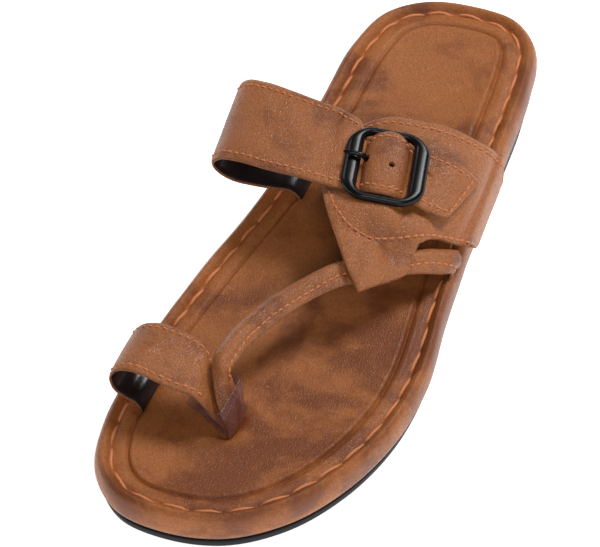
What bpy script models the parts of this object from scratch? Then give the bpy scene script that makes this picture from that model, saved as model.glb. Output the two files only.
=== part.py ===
"""Left toe ring sandal for Blender 4.5, in metres, +Z up.

The sandal stands on the floor, toe towards -Y and heel towards +Y. The outer side of the
left foot is +X and the inner side, with the big toe and the buckle strap's loop, is -X.
Tables hold shares: along is a share of LENGTH from the heel, across a share of BALL_WIDTH
from the last's middle line, and rise a share of STRAP_RISE above the rim at that place.
"""
import bpy
import bmesh
import numpy as np
from math import cos, pi, radians, sin
from mathutils import Matrix, Vector
from mathutils.bvhtree import BVHTree

# Driving dimensions
LENGTH = 0.2775
BALL_WIDTH = 0.100
TOE_SPRING = 0.0045
OUTSOLE_HEEL = 0.012
PAD_HEEL = 0.015
RIM_REACH = 0.016
STRAP_RISE = 0.025
CLEARANCE = 0.0003

# Leather
STRAP_LEATHER = 0.0020
PANEL_LEATHER = 0.0020
RING_LEATHER = 0.0018
EDGE_ROUND = 0.25
FILM = 0.0006

# Outsole tread: grooves across the forefoot from along to along, and lengthwise ones under the heel
GROOVE_DEPTH = 0.0014
GROOVE_WIDTH = 0.0018
TREAD_BORDER = 0.011
TOE_GROOVES = 12
TOE_TREAD = (0.545, 0.930)
WAVE = (0.024, 0.010)
GROOVE_STEPS = 7
HEEL_RIBS = 6
HEEL_TREAD = (0.075, 0.250)
RIB_SPREAD = (0.10, 0.76)
RIB_BOW = 0.16
RIB_STEPS = 6

# Buckle
BUCKLE_ALONG = 0.428
BUCKLE_ACROSS = 0.078
BUCKLE_TURN = 14.0
BUCKLE_WIDTH = 0.0290
BUCKLE_HEIGHT = 0.0335
WIDE_BAR = 0.0050
THIN_BAR = 0.0028
BAR_DEPTH = 0.0030
BUCKLE_BOW = 0.0012
CENTRE_BAR = 0.0010
CENTRE_SINK = 0.0011
PRONG = 0.0011
PRONG_SIDE = -0.0012
KEEPER_LEATHER = 0.0010
KEEPER_WIDTH = 0.016
PRONG_NOTCH = 0.0044
HOLE = 0.0022
HOLE_SIDES = 10
SPARE_HOLE = (0.0020, 0.0021)
BULGE_CROWN = 0.0018

# Sampling
STATIONS = 36
OUTLINE_STEPS = 20
PANEL_COLUMNS = 9
STRAP_COLUMNS = 6
THONG_COLUMNS = 4
RING_COLUMNS = 5

# Outline of the rim: along, across
HEEL_TIP = (0.0, -0.010)
LATERAL = (
    (0.006, 0.174), (0.041, 0.285), (0.119, 0.345), (0.214, 0.373), (0.324, 0.396), (0.435, 0.422),
    (0.541, 0.455), (0.650, 0.500), (0.738, 0.490), (0.835, 0.416), (0.919, 0.289), (0.980, 0.101),
)
TOE_TIP = (1.0, -0.104)
MEDIAL = (
    (0.016, -0.197), (0.057, -0.327), (0.138, -0.385), (0.246, -0.382), (0.373, -0.381), (0.483, -0.413),
    (0.590, -0.465), (0.699, -0.497), (0.795, -0.499), (0.884, -0.478), (0.951, -0.416), (0.993, -0.282),
)

# Side profile: along, lift (of TOE_SPRING), outsole (of OUTSOLE_HEEL), pad (of PAD_HEEL), cup (of PAD_HEEL)
# and width of the padded rim (of RIM_REACH)
PROFILE = (
    (0.00, 0.00, 1.00, 1.00, 0.00, 0.77),
    (0.14, 0.00, 0.99, 0.99, -0.10, 0.85),
    (0.25, 0.00, 0.95, 0.97, -0.06, 0.85),
    (0.40, 0.33, 0.66, 0.938, 0.08, 0.78),
    (0.55, 0.00, 0.45, 0.966, 0.04, 0.72),
    (0.65, 0.00, 0.38, 0.896, -0.02, 0.70),
    (0.80, 0.00, 0.38, 0.896, -0.03, 0.68),
    (0.90, 0.29, 0.37, 0.896, -0.02, 0.68),
    (1.00, 1.00, 0.35, 0.888, 0.00, 0.68),
)

# Footbed section from its base round the padded rim to the sock: inset (of the rim's width), height (of the pad)
FOOTBED_SECTION = (
    (0.25, 0.00), (0.09, 0.10), (0.01, 0.28), (0.00, 0.50), (0.03, 0.74), (0.11, 0.92), (0.24, 1.00),
    (0.38, 0.93), (0.50, 0.81), (0.64, 0.85), (0.90, 0.865), (1.02, 0.79), (1.10, 0.88), (1.24, 0.90),
)

# Outsole section from the ground to its upper face: inset (of the rim's width), height (of the outsole)
OUTSOLE_SECTION = ((0.36, 0.00), (0.20, 0.12), (0.15, 0.42), (0.13, 0.86), (0.16, 1.00), (0.36, 1.00))

# Panel over the outer side, heel edge then toe edge: along, across, rise of each, then crown
PANEL_FRONT = (
    (0.280, 0.372, 0.08, 0.445, 0.397, 0.10, 0.00),
    (0.290, 0.352, 0.30, 0.457, 0.372, 0.25, 0.08),
    (0.300, 0.316, 0.48, 0.467, 0.334, 0.38, 0.11),
    (0.306, 0.245, 0.65, 0.487, 0.290, 0.50, 0.11),
    (0.307, 0.215, 0.68, 0.505, 0.272, 0.545, 0.10),
    (0.310, 0.172, 0.73, 0.540, 0.294, 0.46, 0.10),
    (0.312, 0.148, 0.745, 0.559, 0.264, 0.495, 0.10),
    (0.315, 0.120, 0.76, 0.574, 0.228, 0.52, 0.10),
    (0.318, 0.089, 0.78, 0.611, 0.186, 0.74, 0.08),
)
PANEL_INNER = (
    PANEL_FRONT[-1],
    (0.322, 0.045, 0.80, 0.596, 0.143, 0.77, 0.07),
    (0.325, 0.005, 0.80, 0.579, 0.097, 0.83, 0.06),
    (0.334, -0.040, 0.80, 0.546, 0.023, 0.88, 0.05),
    (0.350, -0.090, 0.78, 0.504, -0.065, 0.88, 0.03),
    (0.364, -0.140, 0.77, 0.467, -0.124, 0.82, 0.02),
)

# Where the panel lies in the rim's outer face: inset (of RIM_REACH), height (of the pad), and the
# along shares of its heel edge and toe edge
HUG = (
    (0.01, 0.16, 0.285, 0.398),
    (-0.04, 0.30, 0.283, 0.405),
    (-0.05, 0.50, 0.280, 0.413),
    (-0.045, 0.76, 0.278, 0.422),
    (-0.02, 0.98, 0.277, 0.431),
    (0.01, 1.09, 0.277, 0.438),
)

# Thong from the outer rim under the panel's fold to the toe post, inner edge then outer edge
THONG = (
    (0.460, 0.380, -0.34, 0.497, 0.390, -0.33, 0.00),
    (0.4535, 0.397, -0.10, 0.4895, 0.407, -0.09, 0.00),
    (0.4525, 0.401, -0.02, 0.488, 0.411, -0.02, 0.00),
    (0.454, 0.401, 0.06, 0.4885, 0.411, 0.05, 0.01),
    (0.4615, 0.384, 0.145, 0.4965, 0.406, 0.125, 0.02),
    (0.4725, 0.349, 0.235, 0.509, 0.381, 0.235, 0.03),
    (0.4875, 0.307, 0.35, 0.5225, 0.345, 0.345, 0.03),
    (0.5035, 0.268, 0.445, 0.5355, 0.302, 0.415, 0.03),
    (0.534, 0.180, 0.50, 0.566, 0.212, 0.455, 0.03),
    (0.565, 0.069, 0.61, 0.596, 0.130, 0.63, 0.03),
    (0.625, -0.039, 0.70, 0.643, 0.037, 0.70, 0.03),
    (0.693, -0.123, 0.72, 0.712, -0.048, 0.71, 0.03),
    (0.745, -0.160, 0.71, 0.757, -0.085, 0.70, 0.03),
    (0.786, -0.162, 0.66, 0.789, -0.098, 0.63, 0.02),
    (0.808, -0.132, 0.50, 0.787, -0.098, 0.50, 0.00),
    (0.831, -0.082, 0.25, 0.796, -0.066, 0.28, 0.00),
    (0.836, -0.047, -0.01, 0.798, -0.047, 0.00, 0.00),
    (0.836, -0.045, -0.31, 0.799, -0.045, -0.30, 0.00),
)

# Toe ring from the inner rim over the big toe to the toe post, heel edge then toe edge
RING = (
    (0.764, -0.380, -0.32, 0.842, -0.380, -0.33, 0.00),
    (0.764, -0.383, -0.07, 0.842, -0.383, -0.08, 0.00),
    (0.764, -0.402, 0.05, 0.843, -0.402, 0.04, 0.00),
    (0.763, -0.440, 0.10, 0.843, -0.440, 0.09, 0.00),
    (0.761, -0.481, 0.25, 0.844, -0.478, 0.22, 0.00),
    (0.761, -0.495, 0.45, 0.844, -0.490, 0.44, 0.00),
    (0.761, -0.466, 0.63, 0.844, -0.460, 0.64, -0.01),
    (0.761, -0.416, 0.74, 0.844, -0.404, 0.73, -0.02),
    (0.761, -0.352, 0.77, 0.844, -0.318, 0.69, -0.02),
    (0.761, -0.280, 0.72, 0.844, -0.240, 0.63, -0.02),
    (0.764, -0.220, 0.62, 0.842, -0.175, 0.60, -0.01),
    (0.779, -0.184, 0.46, 0.840, -0.142, 0.45, 0.00),
    (0.797, -0.128, 0.26, 0.838, -0.112, 0.23, 0.00),
    (0.798, -0.064, 0.00, 0.836, -0.063, -0.01, 0.00),
    (0.799, -0.060, -0.30, 0.836, -0.060, -0.31, 0.00),
)

# Buckle strap from its slit out over the inner rim and back over the instep, heel edge then toe edge
BUCKLE_STRAP = (
    (0.330, -0.250, -0.44, 0.435, -0.255, -0.40, 0.00),
    (0.330, -0.255, -0.10, 0.435, -0.258, -0.07, 0.00),
    (0.330, -0.276, 0.04, 0.438, -0.286, 0.06, 0.00),
    (0.330, -0.326, 0.10, 0.446, -0.348, 0.12, 0.00),
    (0.332, -0.396, 0.14, 0.454, -0.424, 0.17, 0.00),
    (0.334, -0.492, 0.25, 0.459, -0.500, 0.22, 0.00),
    (0.337, -0.573, 0.50, 0.465, -0.553, 0.41, 0.00),
    (0.339, -0.600, 0.72, 0.469, -0.562, 0.58, 0.00),
    (0.343, -0.570, 0.90, 0.474, -0.528, 0.79, -0.01),
    (0.348, -0.490, 1.02, 0.481, -0.445, 0.96, -0.02),
    (0.353, -0.376, 1.06, 0.486, -0.310, 1.04, -0.02),
    (0.3545, -0.258, 1.03, 0.484, -0.193, 1.05, -0.02),
    (0.354, -0.173, 1.01, 0.4825, -0.113, 1.03, -0.01),
)

# Buckle strap through the buckle, in shares of the buckle's half width and half height:
# run, heel edge, toe edge, and each edge's bulge as a share of the height that clears the keeper
BUCKLE_RUN = (
    (-1.13, -1.39, 0.66, 0.00, 0.00),
    (-0.92, -1.31, 0.66, 0.00, 0.00),
    (-0.74, -1.12, 0.67, 0.00, 0.00),
    (-0.64, -0.85, 0.68, 0.00, 0.00),
    (-0.53, -0.76, 0.70, 0.08, 0.06),
    (-0.38, -0.78, 0.74, 0.62, 0.44),
    (-0.22, -0.80, 0.78, 0.90, 0.65),
    (0.00, -0.83, 0.80, 1.00, 0.72),
    (0.22, -0.80, 0.79, 0.93, 0.67),
    (0.38, -0.77, 0.76, 0.62, 0.44),
    (0.50, -0.745, 0.72, 0.22, 0.15),
    (0.62, -0.74, 0.70, 0.00, 0.00),
    (0.80, -0.78, 0.71, 0.00, 0.00),
)

# Strap's tail on the panel: run and side of the heel edge, of the toe edge, then each edge's lift (m)
TAIL = (
    (1.24, -0.76, 1.15, 0.71, 0.0002, 0.0008),
    (1.76, -0.68, 1.38, 0.69, 0.0002, 0.0014),
    (2.26, -0.60, 1.58, 0.65, 0.0002, 0.0018),
)

# Film sleeve at the toe post: along, across, rise, half length and half width (of POST_LENGTH)
POST_LENGTH = 0.0110
SLEEVE_CORNER = 0.0013
SLEEVE = (
    (0.8175, -0.0565, -0.02, 0.61, 0.26),
    (0.8175, -0.0685, 0.08, 0.61, 0.33),
    (0.8173, -0.0875, 0.20, 0.64, 0.43),
    (0.8150, -0.1100, 0.32, 0.72, 0.53),
    (0.8114, -0.1320, 0.42, 0.85, 0.58),
)

COLOURS = {
    "outsole": ((0.012, 0.012, 0.014), 0.55, 0.0),
    "footbed": ((0.30, 0.115, 0.040), 0.50, 0.0),
    "upper": ((0.33, 0.125, 0.042), 0.50, 0.0),
    "buckle_strap": ((0.33, 0.125, 0.042), 0.50, 0.0),
    "buckle_frame": ((0.010, 0.010, 0.012), 0.20, 0.6),
    "buckle_prong": ((0.010, 0.010, 0.012), 0.20, 0.6),
    "buckle_keeper": ((0.20, 0.075, 0.028), 0.60, 0.0),
    "toe_post_sleeve": ((0.16, 0.07, 0.09), 0.30, 0.0),
}


def monotone(table, along):
    """Columns of a table at one share of the length, without overshoot between its rows."""
    rows = np.array(table)
    steps = np.diff(rows[:, 0])[:, None]
    slopes = np.diff(rows[:, 1:], axis=0) / steps
    product = slopes[:-1] * slopes[1:]
    total = slopes[:-1] + slopes[1:]
    inner = np.where(product > 0, 2 * product / np.where(product > 0, total, 1.0), 0.0)
    tangents = np.vstack((slopes[:1], inner, slopes[-1:]))
    i = int(np.clip(np.searchsorted(rows[:, 0], along) - 1, 0, len(rows) - 2))
    h = rows[i + 1, 0] - rows[i, 0]
    t = (along - rows[i, 0]) / h
    start = (2 * t**3 - 3 * t**2 + 1) * rows[i, 1:] + (t**3 - 2 * t**2 + t) * h * tangents[i]
    end = (3 * t**2 - 2 * t**3) * rows[i + 1, 1:] + (t**3 - t**2) * h * tangents[i + 1]
    return start + end


def spline(rows, steps, closed=False):
    """Smooth curve through rows of numbers, spaced by the distance between them."""
    p = np.array(rows, dtype=float)
    if closed:
        p = np.vstack((p[-1:], p, p[:2]))
    h = np.maximum(np.linalg.norm(np.diff(p, axis=0), axis=1), 1e-9)[:, None]
    d = np.diff(p, axis=0) / h
    inner = (d[:-1] * h[1:] + d[1:] * h[:-1]) / (h[:-1] + h[1:])
    m = np.vstack((d[:1], inner, d[-1:]))
    first, last = (1, len(p) - 2) if closed else (0, len(p) - 1)
    out = []
    for i in range(first, last):
        for k in range(steps):
            t = k / steps
            start = (2 * t**3 - 3 * t**2 + 1) * p[i] + (t**3 - 2 * t**2 + t) * h[i] * m[i]
            out.append(start + (3 * t**2 - 2 * t**3) * p[i + 1] + (t**3 - t**2) * h[i] * m[i + 1])
    if not closed:
        out.append(p[last])
    return np.array(out)


class Last:
    """Outline and heights of the sole, worked out from the driving dimensions."""

    def __init__(self):
        ring = [HEEL_TIP, *LATERAL, TOE_TIP, *reversed(MEDIAL)]
        scale = np.array((LENGTH, BALL_WIDTH))
        loop = spline(np.array(ring) * scale, OUTLINE_STEPS, closed=True)
        loop[:, 0] = (loop[:, 0] - loop[:, 0].min()) * LENGTH / np.ptp(loop[:, 0])
        toe = int(loop[:, 0].argmax())
        heel = int(loop[:, 0].argmin())
        loop = np.roll(loop, -heel, axis=0)
        toe = (toe - heel) % len(loop)
        self.outer = loop[:toe + 1]
        self.inner = np.vstack((loop[toe:], loop[:1]))[::-1]
        shares = [(1 - cos(pi * j / STATIONS)) / 2 for j in range(STATIONS + 1)]
        points = [self.edge(share, 1) for share in shares]
        points += [self.edge(share, -1) for share in reversed(shares[1:-1])]
        self.points = np.array(points)
        ahead = np.roll(self.points, -1, axis=0) - self.points
        behind = self.points - np.roll(self.points, 1, axis=0)
        a = np.linalg.norm(ahead, axis=1)[:, None]
        b = np.linalg.norm(behind, axis=1)[:, None]
        tangent = ahead / a * b + behind / b * a
        tangent /= np.linalg.norm(tangent, axis=1)[:, None]
        self.normals = np.stack((tangent[:, 1], -tangent[:, 0]), axis=1)
        self.reach = np.array([[rim_reach(s / LENGTH)] for s, _ in self.points])

    def edge(self, share, side):
        """Outline point (distance from the heel, across) on the outer (+1) or inner (-1) side."""
        line = self.outer if side > 0 else self.inner
        s = share * LENGTH
        return (s, float(np.interp(s, line[:, 0], line[:, 1])))

    def ring(self, inset):
        """Outline moved inwards by a share of the rim's width."""
        return self.points + self.normals * self.reach * inset


def levels(along):
    """Ground, outsole top, rim crest and sock cup heights at a share of the length."""
    lift, outsole, pad, cup, _ = monotone(PROFILE, min(max(along, 0.0), 1.0))
    ground = lift * TOE_SPRING
    top = ground + outsole * OUTSOLE_HEEL
    return ground, top, top + pad * PAD_HEEL, cup * PAD_HEEL


def rim_reach(along):
    """Width of the padded rim at a share of the length."""
    return monotone(PROFILE, min(max(along, 0.0), 1.0))[4] * RIM_REACH


def world(s, across, z):
    return Vector((across, LENGTH / 2 - s, z))


def place(along, across, rise):
    """Point of a strap, from its shares."""
    return world(along * LENGTH, across * BALL_WIDTH, levels(along)[2] + rise * STRAP_RISE)


def new_object(name, mesh):
    colour, roughness, metallic = COLOURS.get(name, ((0.5, 0.5, 0.5), 0.5, 0.0))
    material = bpy.data.materials.new(name)
    material.use_nodes = True
    shader = material.node_tree.nodes["Principled BSDF"]
    shader.inputs["Base Color"].default_value = (*colour, 1.0)
    shader.inputs["Roughness"].default_value = roughness
    shader.inputs["Metallic"].default_value = metallic
    mesh.materials.append(material)
    obj = bpy.data.objects.new(name, mesh)
    bpy.context.scene.collection.objects.link(obj)
    return obj


def finish(name, bm):
    """Closed mesh with its faces pointing out, as a named object."""
    bmesh.ops.recalc_face_normals(bm, faces=bm.faces)
    mesh = bpy.data.meshes.new(name)
    bm.to_mesh(mesh)
    bm.free()
    return new_object(name, mesh)


def combine(target, others, operation):
    """Applies a Boolean of each other object to the target and removes them."""
    for other in others:
        modifier = target.modifiers.new("shape", "BOOLEAN")
        modifier.operation = operation
        modifier.solver = "MANIFOLD"
        modifier.object = other
        bpy.context.view_layer.update()
        evaluated = target.evaluated_get(bpy.context.evaluated_depsgraph_get())
        mesh = bpy.data.meshes.new_from_object(evaluated)
        target.modifiers.clear()
        mesh.materials.clear()
        mesh.materials.append(target.data.materials[0])
        target.data = mesh
        bpy.data.objects.remove(other)
    return target


def fill(bm, ring, columns, height):
    """Closes a ring across the sole with rows between its outer and inner sides."""
    count = len(ring)
    half = count // 2
    rows = [[ring[0]]]
    for j in range(1, half):
        a, b = ring[j], ring[count - j]
        row = [a]
        for c in range(1, columns):
            t = c / columns
            point = a.co.lerp(b.co, t)
            point.z = height(point, t, a.co.z * (1 - t) + b.co.z * t)
            row.append(bm.verts.new(point))
        rows.append(row + [b])
    rows.append([ring[half]])
    for first, second in ((rows[0], rows[1]), (rows[-1], rows[-2])):
        for c in range(columns):
            bm.faces.new((first[0], second[c], second[c + 1]))
    for lower, upper in zip(rows[1:-2], rows[2:-1]):
        for c in range(columns):
            bm.faces.new((lower[c], upper[c], upper[c + 1], lower[c + 1]))


def sole_body(name, last, section, heights, columns, top_height, bottom_height):
    """Stack of rings round the outline, closed across its upper and lower faces."""
    bm = bmesh.new()
    rings = []
    for inset, share in section:
        ring = []
        for s, across in last.ring(inset):
            low, high = heights(s / LENGTH)
            ring.append(bm.verts.new(world(s, across, low + share * (high - low))))
        rings.append(ring)
    for lower, upper in zip(rings, rings[1:]):
        for i in range(len(lower)):
            k = (i + 1) % len(lower)
            bm.faces.new((lower[i], lower[k], upper[k], upper[i]))
    fill(bm, rings[0], columns, bottom_height)
    fill(bm, rings[-1], columns, top_height)
    return finish(name, bm)


def surface(table, steps, columns):
    """Grid of points over a strap: rows along it, columns from its first edge to its second."""
    return span([(*place(*row[0:3]), *place(*row[3:6]), row[6] * STRAP_RISE) for row in table], steps, columns)


def span(rows, steps, columns):
    """Grid through rows that each hold two edge points and a crown, in metres."""
    smooth = spline(rows, steps)
    return crowned([(Vector(row[0:3]), Vector(row[3:6]), row[6]) for row in smooth], columns)


def crowned(rows, columns):
    """Grid between pairs of edge points, raised in the middle along its own normal."""
    grid = [[a.lerp(b, c / columns) for c in range(columns + 1)] for a, b, _ in rows]
    normals = grid_normals(grid)
    out = []
    for points, directions, (_, _, crown) in zip(grid, normals, rows):
        line = []
        for c, (point, normal) in enumerate(zip(points, directions)):
            v = c / columns
            line.append(point + normal * (crown * 4 * v * (1 - v)))
        out.append(line)
    return out


def grid_normals(grid):
    """Unit normals of a grid of points, by differences between its neighbours."""
    out = []
    for i in range(len(grid)):
        before, after = grid[max(i - 1, 0)], grid[min(i + 1, len(grid) - 1)]
        line = []
        for c in range(len(grid[i])):
            along = after[c] - before[c]
            across = grid[i][min(c + 1, len(grid[i]) - 1)] - grid[i][max(c - 1, 0)]
            line.append(along.cross(across).normalized())
        out.append(line)
    return out


def sheet(name, grid, thickness, grow=0.0):
    """Closed sheet of leather about a grid of points, with rounded long edges."""
    bm = bmesh.new()
    normals = grid_normals(grid)
    half = thickness / 2 + grow
    loops = []
    for points, directions in zip(grid, normals):
        out = (points[0] - points[1]).normalized()
        back = (points[-1] - points[-2]).normalized()
        upper = [p + n * half for p, n in zip(points, directions)]
        lower = [p - n * half for p, n in zip(points, directions)]
        for line in (upper, lower):
            line[0] = line[0] + out * grow
            line[-1] = line[-1] + back * grow
        first = points[0] + out * (thickness * EDGE_ROUND + grow)
        final = points[-1] + back * (thickness * EDGE_ROUND + grow)
        loops.append([bm.verts.new(p) for p in [first, *upper, final, *reversed(lower)]])
    count = len(loops[0])
    for a, b in zip(loops, loops[1:]):
        for i in range(count):
            k = (i + 1) % count
            bm.faces.new((a[i], a[k], b[k], b[i]))
    for loop in (loops[0], loops[-1]):
        half_count = count // 2
        for i in range(half_count):
            ring = [loop[i], loop[i + 1], loop[count - i - 1], loop[(count - i) % count]]
            ring = list(dict.fromkeys(ring))
            bm.faces.new(ring)
    return finish(name, bm)


def build_footbed(last, panel):
    """Padded footbed: rolled rim, stitch valley, groove and raised sock, with slits for the straps
    and a recess for the panel in its outer face."""
    def heights(along):
        _, base, crest, _ = levels(along)
        return base + CLEARANCE, crest

    def sock(point, t, z):
        return z + levels(0.5 - point.y / LENGTH)[3] * 4 * t * (1 - t)

    def base(point, t, z):
        return z

    body = sole_body("footbed", last, FOOTBED_SECTION, heights, 5, sock, base)
    cutters = []
    for table, sunken, columns, thickness in ((BUCKLE_STRAP, 3, STRAP_COLUMNS, STRAP_LEATHER),
                                              (RING, 3, RING_COLUMNS, RING_LEATHER),
                                              (THONG, 4, THONG_COLUMNS, RING_LEATHER)):
        cutters.append(clearing(surface(table[:sunken + 1], 2, columns)[:2 * sunken - 1], thickness))
    cutters.append(clearing(panel[:len(HUG) + 2], PANEL_LEATHER))
    cutters.append(post_slit(THONG, RING))
    return combine(body, cutters, "DIFFERENCE")


def clearing(grid, thickness):
    """Cutter that gives the sunken end of a strap some room all round."""
    deep = [p + (p - q).normalized() * CLEARANCE * 2 for p, q in zip(grid[0], grid[1])]
    return sheet("slit", [deep] + grid, thickness, grow=CLEARANCE * 1.5)


def post_slit(thong, ring):
    """One slit for the two straps that go down side by side at the toe post."""
    low = min(place(*row[0:3]).z for row in (thong[-1], ring[-1])) - CLEARANCE * 2
    high = place(*thong[-3][0:3]).z
    gap = CLEARANCE * 1.5
    points = [place(*row[i:i + 3]) for row in (thong[-1], thong[-2], ring[-1], ring[-2]) for i in (0, 3)]
    half = RING_LEATHER / 2 + gap
    x_low = min(p.x for p in points) - half
    x_high = max(p.x for p in points) + half
    y_low = min(p.y for p in points) - RING_LEATHER * EDGE_ROUND - gap
    y_high = max(p.y for p in points) + RING_LEATHER * EDGE_ROUND + gap
    return block("slit", (x_low, y_low, low), (x_high, y_high, high))


def block(name, low, high, frame=None):
    """Box between two corners, in a frame where one is given."""
    bm = bmesh.new()
    bmesh.ops.create_cube(bm, size=1.0)
    low, high = Vector(low), Vector(high)
    bmesh.ops.scale(bm, vec=high - low, verts=bm.verts)
    bmesh.ops.translate(bm, vec=(low + high) / 2, verts=bm.verts)
    if frame:
        bmesh.ops.transform(bm, matrix=frame, verts=bm.verts)
    return finish(name, bm)


def build_outsole(last):
    """Cupped outsole with toe spring, waved forefoot grooves and ribs under the heel."""
    def heights(along):
        ground, top, _, _ = levels(along)
        return ground, top

    def flat(point, t, z):
        return z

    body = sole_body("outsole", last, OUTSOLE_SECTION, heights, 3, flat, flat)
    cutters = []
    for k in range(TOE_GROOVES):
        t = k / (TOE_GROOVES - 1)
        cutters.append(groove(last, blend(TOE_TREAD, t), blend(WAVE, t)))
    for k in range(HEEL_RIBS):
        cutters.append(heel_rib(last, blend(RIB_SPREAD, k / (HEEL_RIBS - 1))))
    return combine(body, cutters, "DIFFERENCE")


def blend(ends, t):
    return ends[0] + (ends[1] - ends[0]) * t


def tread_width(last, share):
    """Inner and outer limit of the tread at a share of the length."""
    return (last.edge(share, -1)[1] + TREAD_BORDER, last.edge(share, 1)[1] - TREAD_BORDER)


def groove(last, along, wave):
    """Cutter for one waved groove across the forefoot, inside the smooth border."""
    path = []
    for i in range(GROOVE_STEPS + 1):
        t = i / GROOVE_STEPS
        share = along + wave * sin(2 * pi * (t - 0.1)) + wave * (t - 0.5) / 2
        path.append((share * LENGTH, blend(tread_width(last, share), t)))
    return trench(path)


def heel_rib(last, across):
    """Cutter for one curved lengthwise groove under the heel."""
    path = []
    for i in range(RIB_STEPS + 1):
        share = blend(HEEL_TREAD, i / RIB_STEPS)
        bow = RIB_BOW * sin(pi * i / RIB_STEPS)
        path.append((share * LENGTH, blend(tread_width(last, share), across + bow)))
    return trench(path)


def trench(path):
    """Closed strip with a square section that follows the ground face along a path."""
    bm = bmesh.new()
    loops = []
    for i, (s, across) in enumerate(path):
        before, after = path[max(i - 1, 0)], path[min(i + 1, len(path) - 1)]
        run = Vector((after[0] - before[0], after[1] - before[1])).normalized()
        side = Vector((-run.y, run.x)) * GROOVE_WIDTH / 2
        ground = levels(s / LENGTH)[0]
        corners = ((1, ground - GROOVE_DEPTH), (1, ground + GROOVE_DEPTH),
                   (-1, ground + GROOVE_DEPTH), (-1, ground - GROOVE_DEPTH))
        loops.append([bm.verts.new(world(s + side.x * k, across + side.y * k, z)) for k, z in corners])
    for a, b in zip(loops, loops[1:]):
        for i in range(4):
            k = (i + 1) % 4
            bm.faces.new((a[i], a[k], b[k], b[i]))
    bm.faces.new(loops[0])
    bm.faces.new(loops[-1])
    return finish("trench", bm)


def panel_grid(last):
    """Panel's middle surface: up the outside of the rim, over the foot and down to its folded tip."""
    hug = []
    for inset, height, heel, toe in HUG:
        ends = []
        for c in range(PANEL_COLUMNS + 1):
            share = blend((heel, toe), c / PANEL_COLUMNS)
            s, across = last.edge(share, 1)
            _, base, crest, _ = levels(share)
            ends.append(world(s, across - inset * RIM_REACH, base + height * (crest - base)))
        hug.append(ends)
    front = surface(PANEL_FRONT, 2, PANEL_COLUMNS)
    inner = surface(PANEL_INNER, 2, PANEL_COLUMNS)
    return hug + front + inner[1:]


def build_upper(grid):
    """Panel, thong and toe ring as one piece: the thong runs inside the panel's fold and is sewn
    to the ring at the toe post."""
    upper = sheet("upper", grid, PANEL_LEATHER)
    thong = sheet("thong", surface(THONG, 2, THONG_COLUMNS), RING_LEATHER)
    ring = sheet("ring", surface(RING, 2, RING_COLUMNS), RING_LEATHER)
    return combine(upper, [thong, ring], "UNION")


class Seat:
    """The panel's upper face, and the buckle's frame on it."""

    def __init__(self, panel):
        mesh = panel.data
        self.tree = BVHTree.FromPolygons([v.co for v in mesh.vertices], [p.vertices for p in mesh.polygons])
        middle = place(BUCKLE_ALONG, BUCKLE_ACROSS, 1.0)
        self.rise = middle.z
        self.run = Vector((cos(radians(BUCKLE_TURN)), sin(radians(BUCKLE_TURN)), 0.0))
        self.side = Vector((sin(radians(BUCKLE_TURN)), -cos(radians(BUCKLE_TURN)), 0.0))
        self.middle = middle
        corners = [self.on(u, v)[0] for u, v in ((-1, -1), (1, -1), (1, 1), (-1, 1))]
        normal = (corners[1] - corners[3]).cross(corners[2] - corners[0]).normalized()
        normal = -normal if normal.z < 0 else normal
        u_axis = (self.run - normal * self.run.dot(normal)).normalized()
        v_axis = normal.cross(u_axis)
        v_axis = -v_axis if v_axis.dot(self.side) < 0 else v_axis
        centre = self.on(0, 0)[0]
        footprint = [self.on(u / 4, v / 4)[0] for u in range(-4, 5) for v in range(-4, 5)]
        highest = max((p - centre).dot(normal) for p in footprint)
        self.frame = Matrix((u_axis, v_axis, normal)).transposed().to_4x4()
        self.frame.translation = centre + normal * highest

    def on(self, u, v):
        """Point and normal of the panel under a place given in half widths and half heights."""
        p = self.middle + self.run * (u * BUCKLE_WIDTH / 2) + self.side * (v * BUCKLE_HEIGHT / 2)
        hit, normal, _, _ = self.tree.ray_cast(Vector((p.x, p.y, LENGTH)), Vector((0, 0, -1)))
        if hit is None:
            hit, normal, _, _ = self.tree.find_nearest(Vector((p.x, p.y, self.rise)))
        if normal.z < 0:
            normal = -normal
        return hit, normal

    def local(self, u, v, w):
        return self.frame @ Vector((u, v, w))


# Heights over the panel in the buckle's own frame
UNDER_BAR = CLEARANCE + STRAP_LEATHER / 2
BAR_LOW = UNDER_BAR + STRAP_LEATHER / 2 + CLEARANCE
CENTRE_HEIGHT = BAR_LOW + BAR_DEPTH / 2 - CENTRE_SINK
KEEPER_TOP = CENTRE_HEIGHT + CENTRE_BAR + CLEARANCE + KEEPER_LEATHER
BULGE = KEEPER_TOP + CLEARANCE * 2 + STRAP_LEATHER / 2


def strap_rows(seat):
    """Edge pairs of the buckle strap: table, through the buckle, then its tail on the panel."""
    rows = [(*place(*row[0:3]), *place(*row[3:6]), row[6] * STRAP_RISE) for row in BUCKLE_STRAP]
    for u, heel, toe, heel_bulge, toe_bulge in BUCKLE_RUN:
        ends = []
        for v, bulge in ((heel, heel_bulge), (toe, toe_bulge)):
            w = blend((UNDER_BAR, BULGE), bulge)
            ends.append(seat.local(u * BUCKLE_WIDTH / 2, v * BUCKLE_HEIGHT / 2, w))
        rows.append((*ends[0], *ends[1], -BULGE_CROWN * heel_bulge))
    for heel_u, heel_v, toe_u, toe_v, heel_lift, toe_lift in TAIL:
        ends = []
        for u, v, lift in ((heel_u, heel_v, heel_lift), (toe_u, toe_v, toe_lift)):
            hit, normal = seat.on(u, v)
            ends.append(hit + normal * (UNDER_BAR + CLEARANCE + lift))
        rows.append((*ends[0], *ends[1], 0.0))
    return rows


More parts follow.
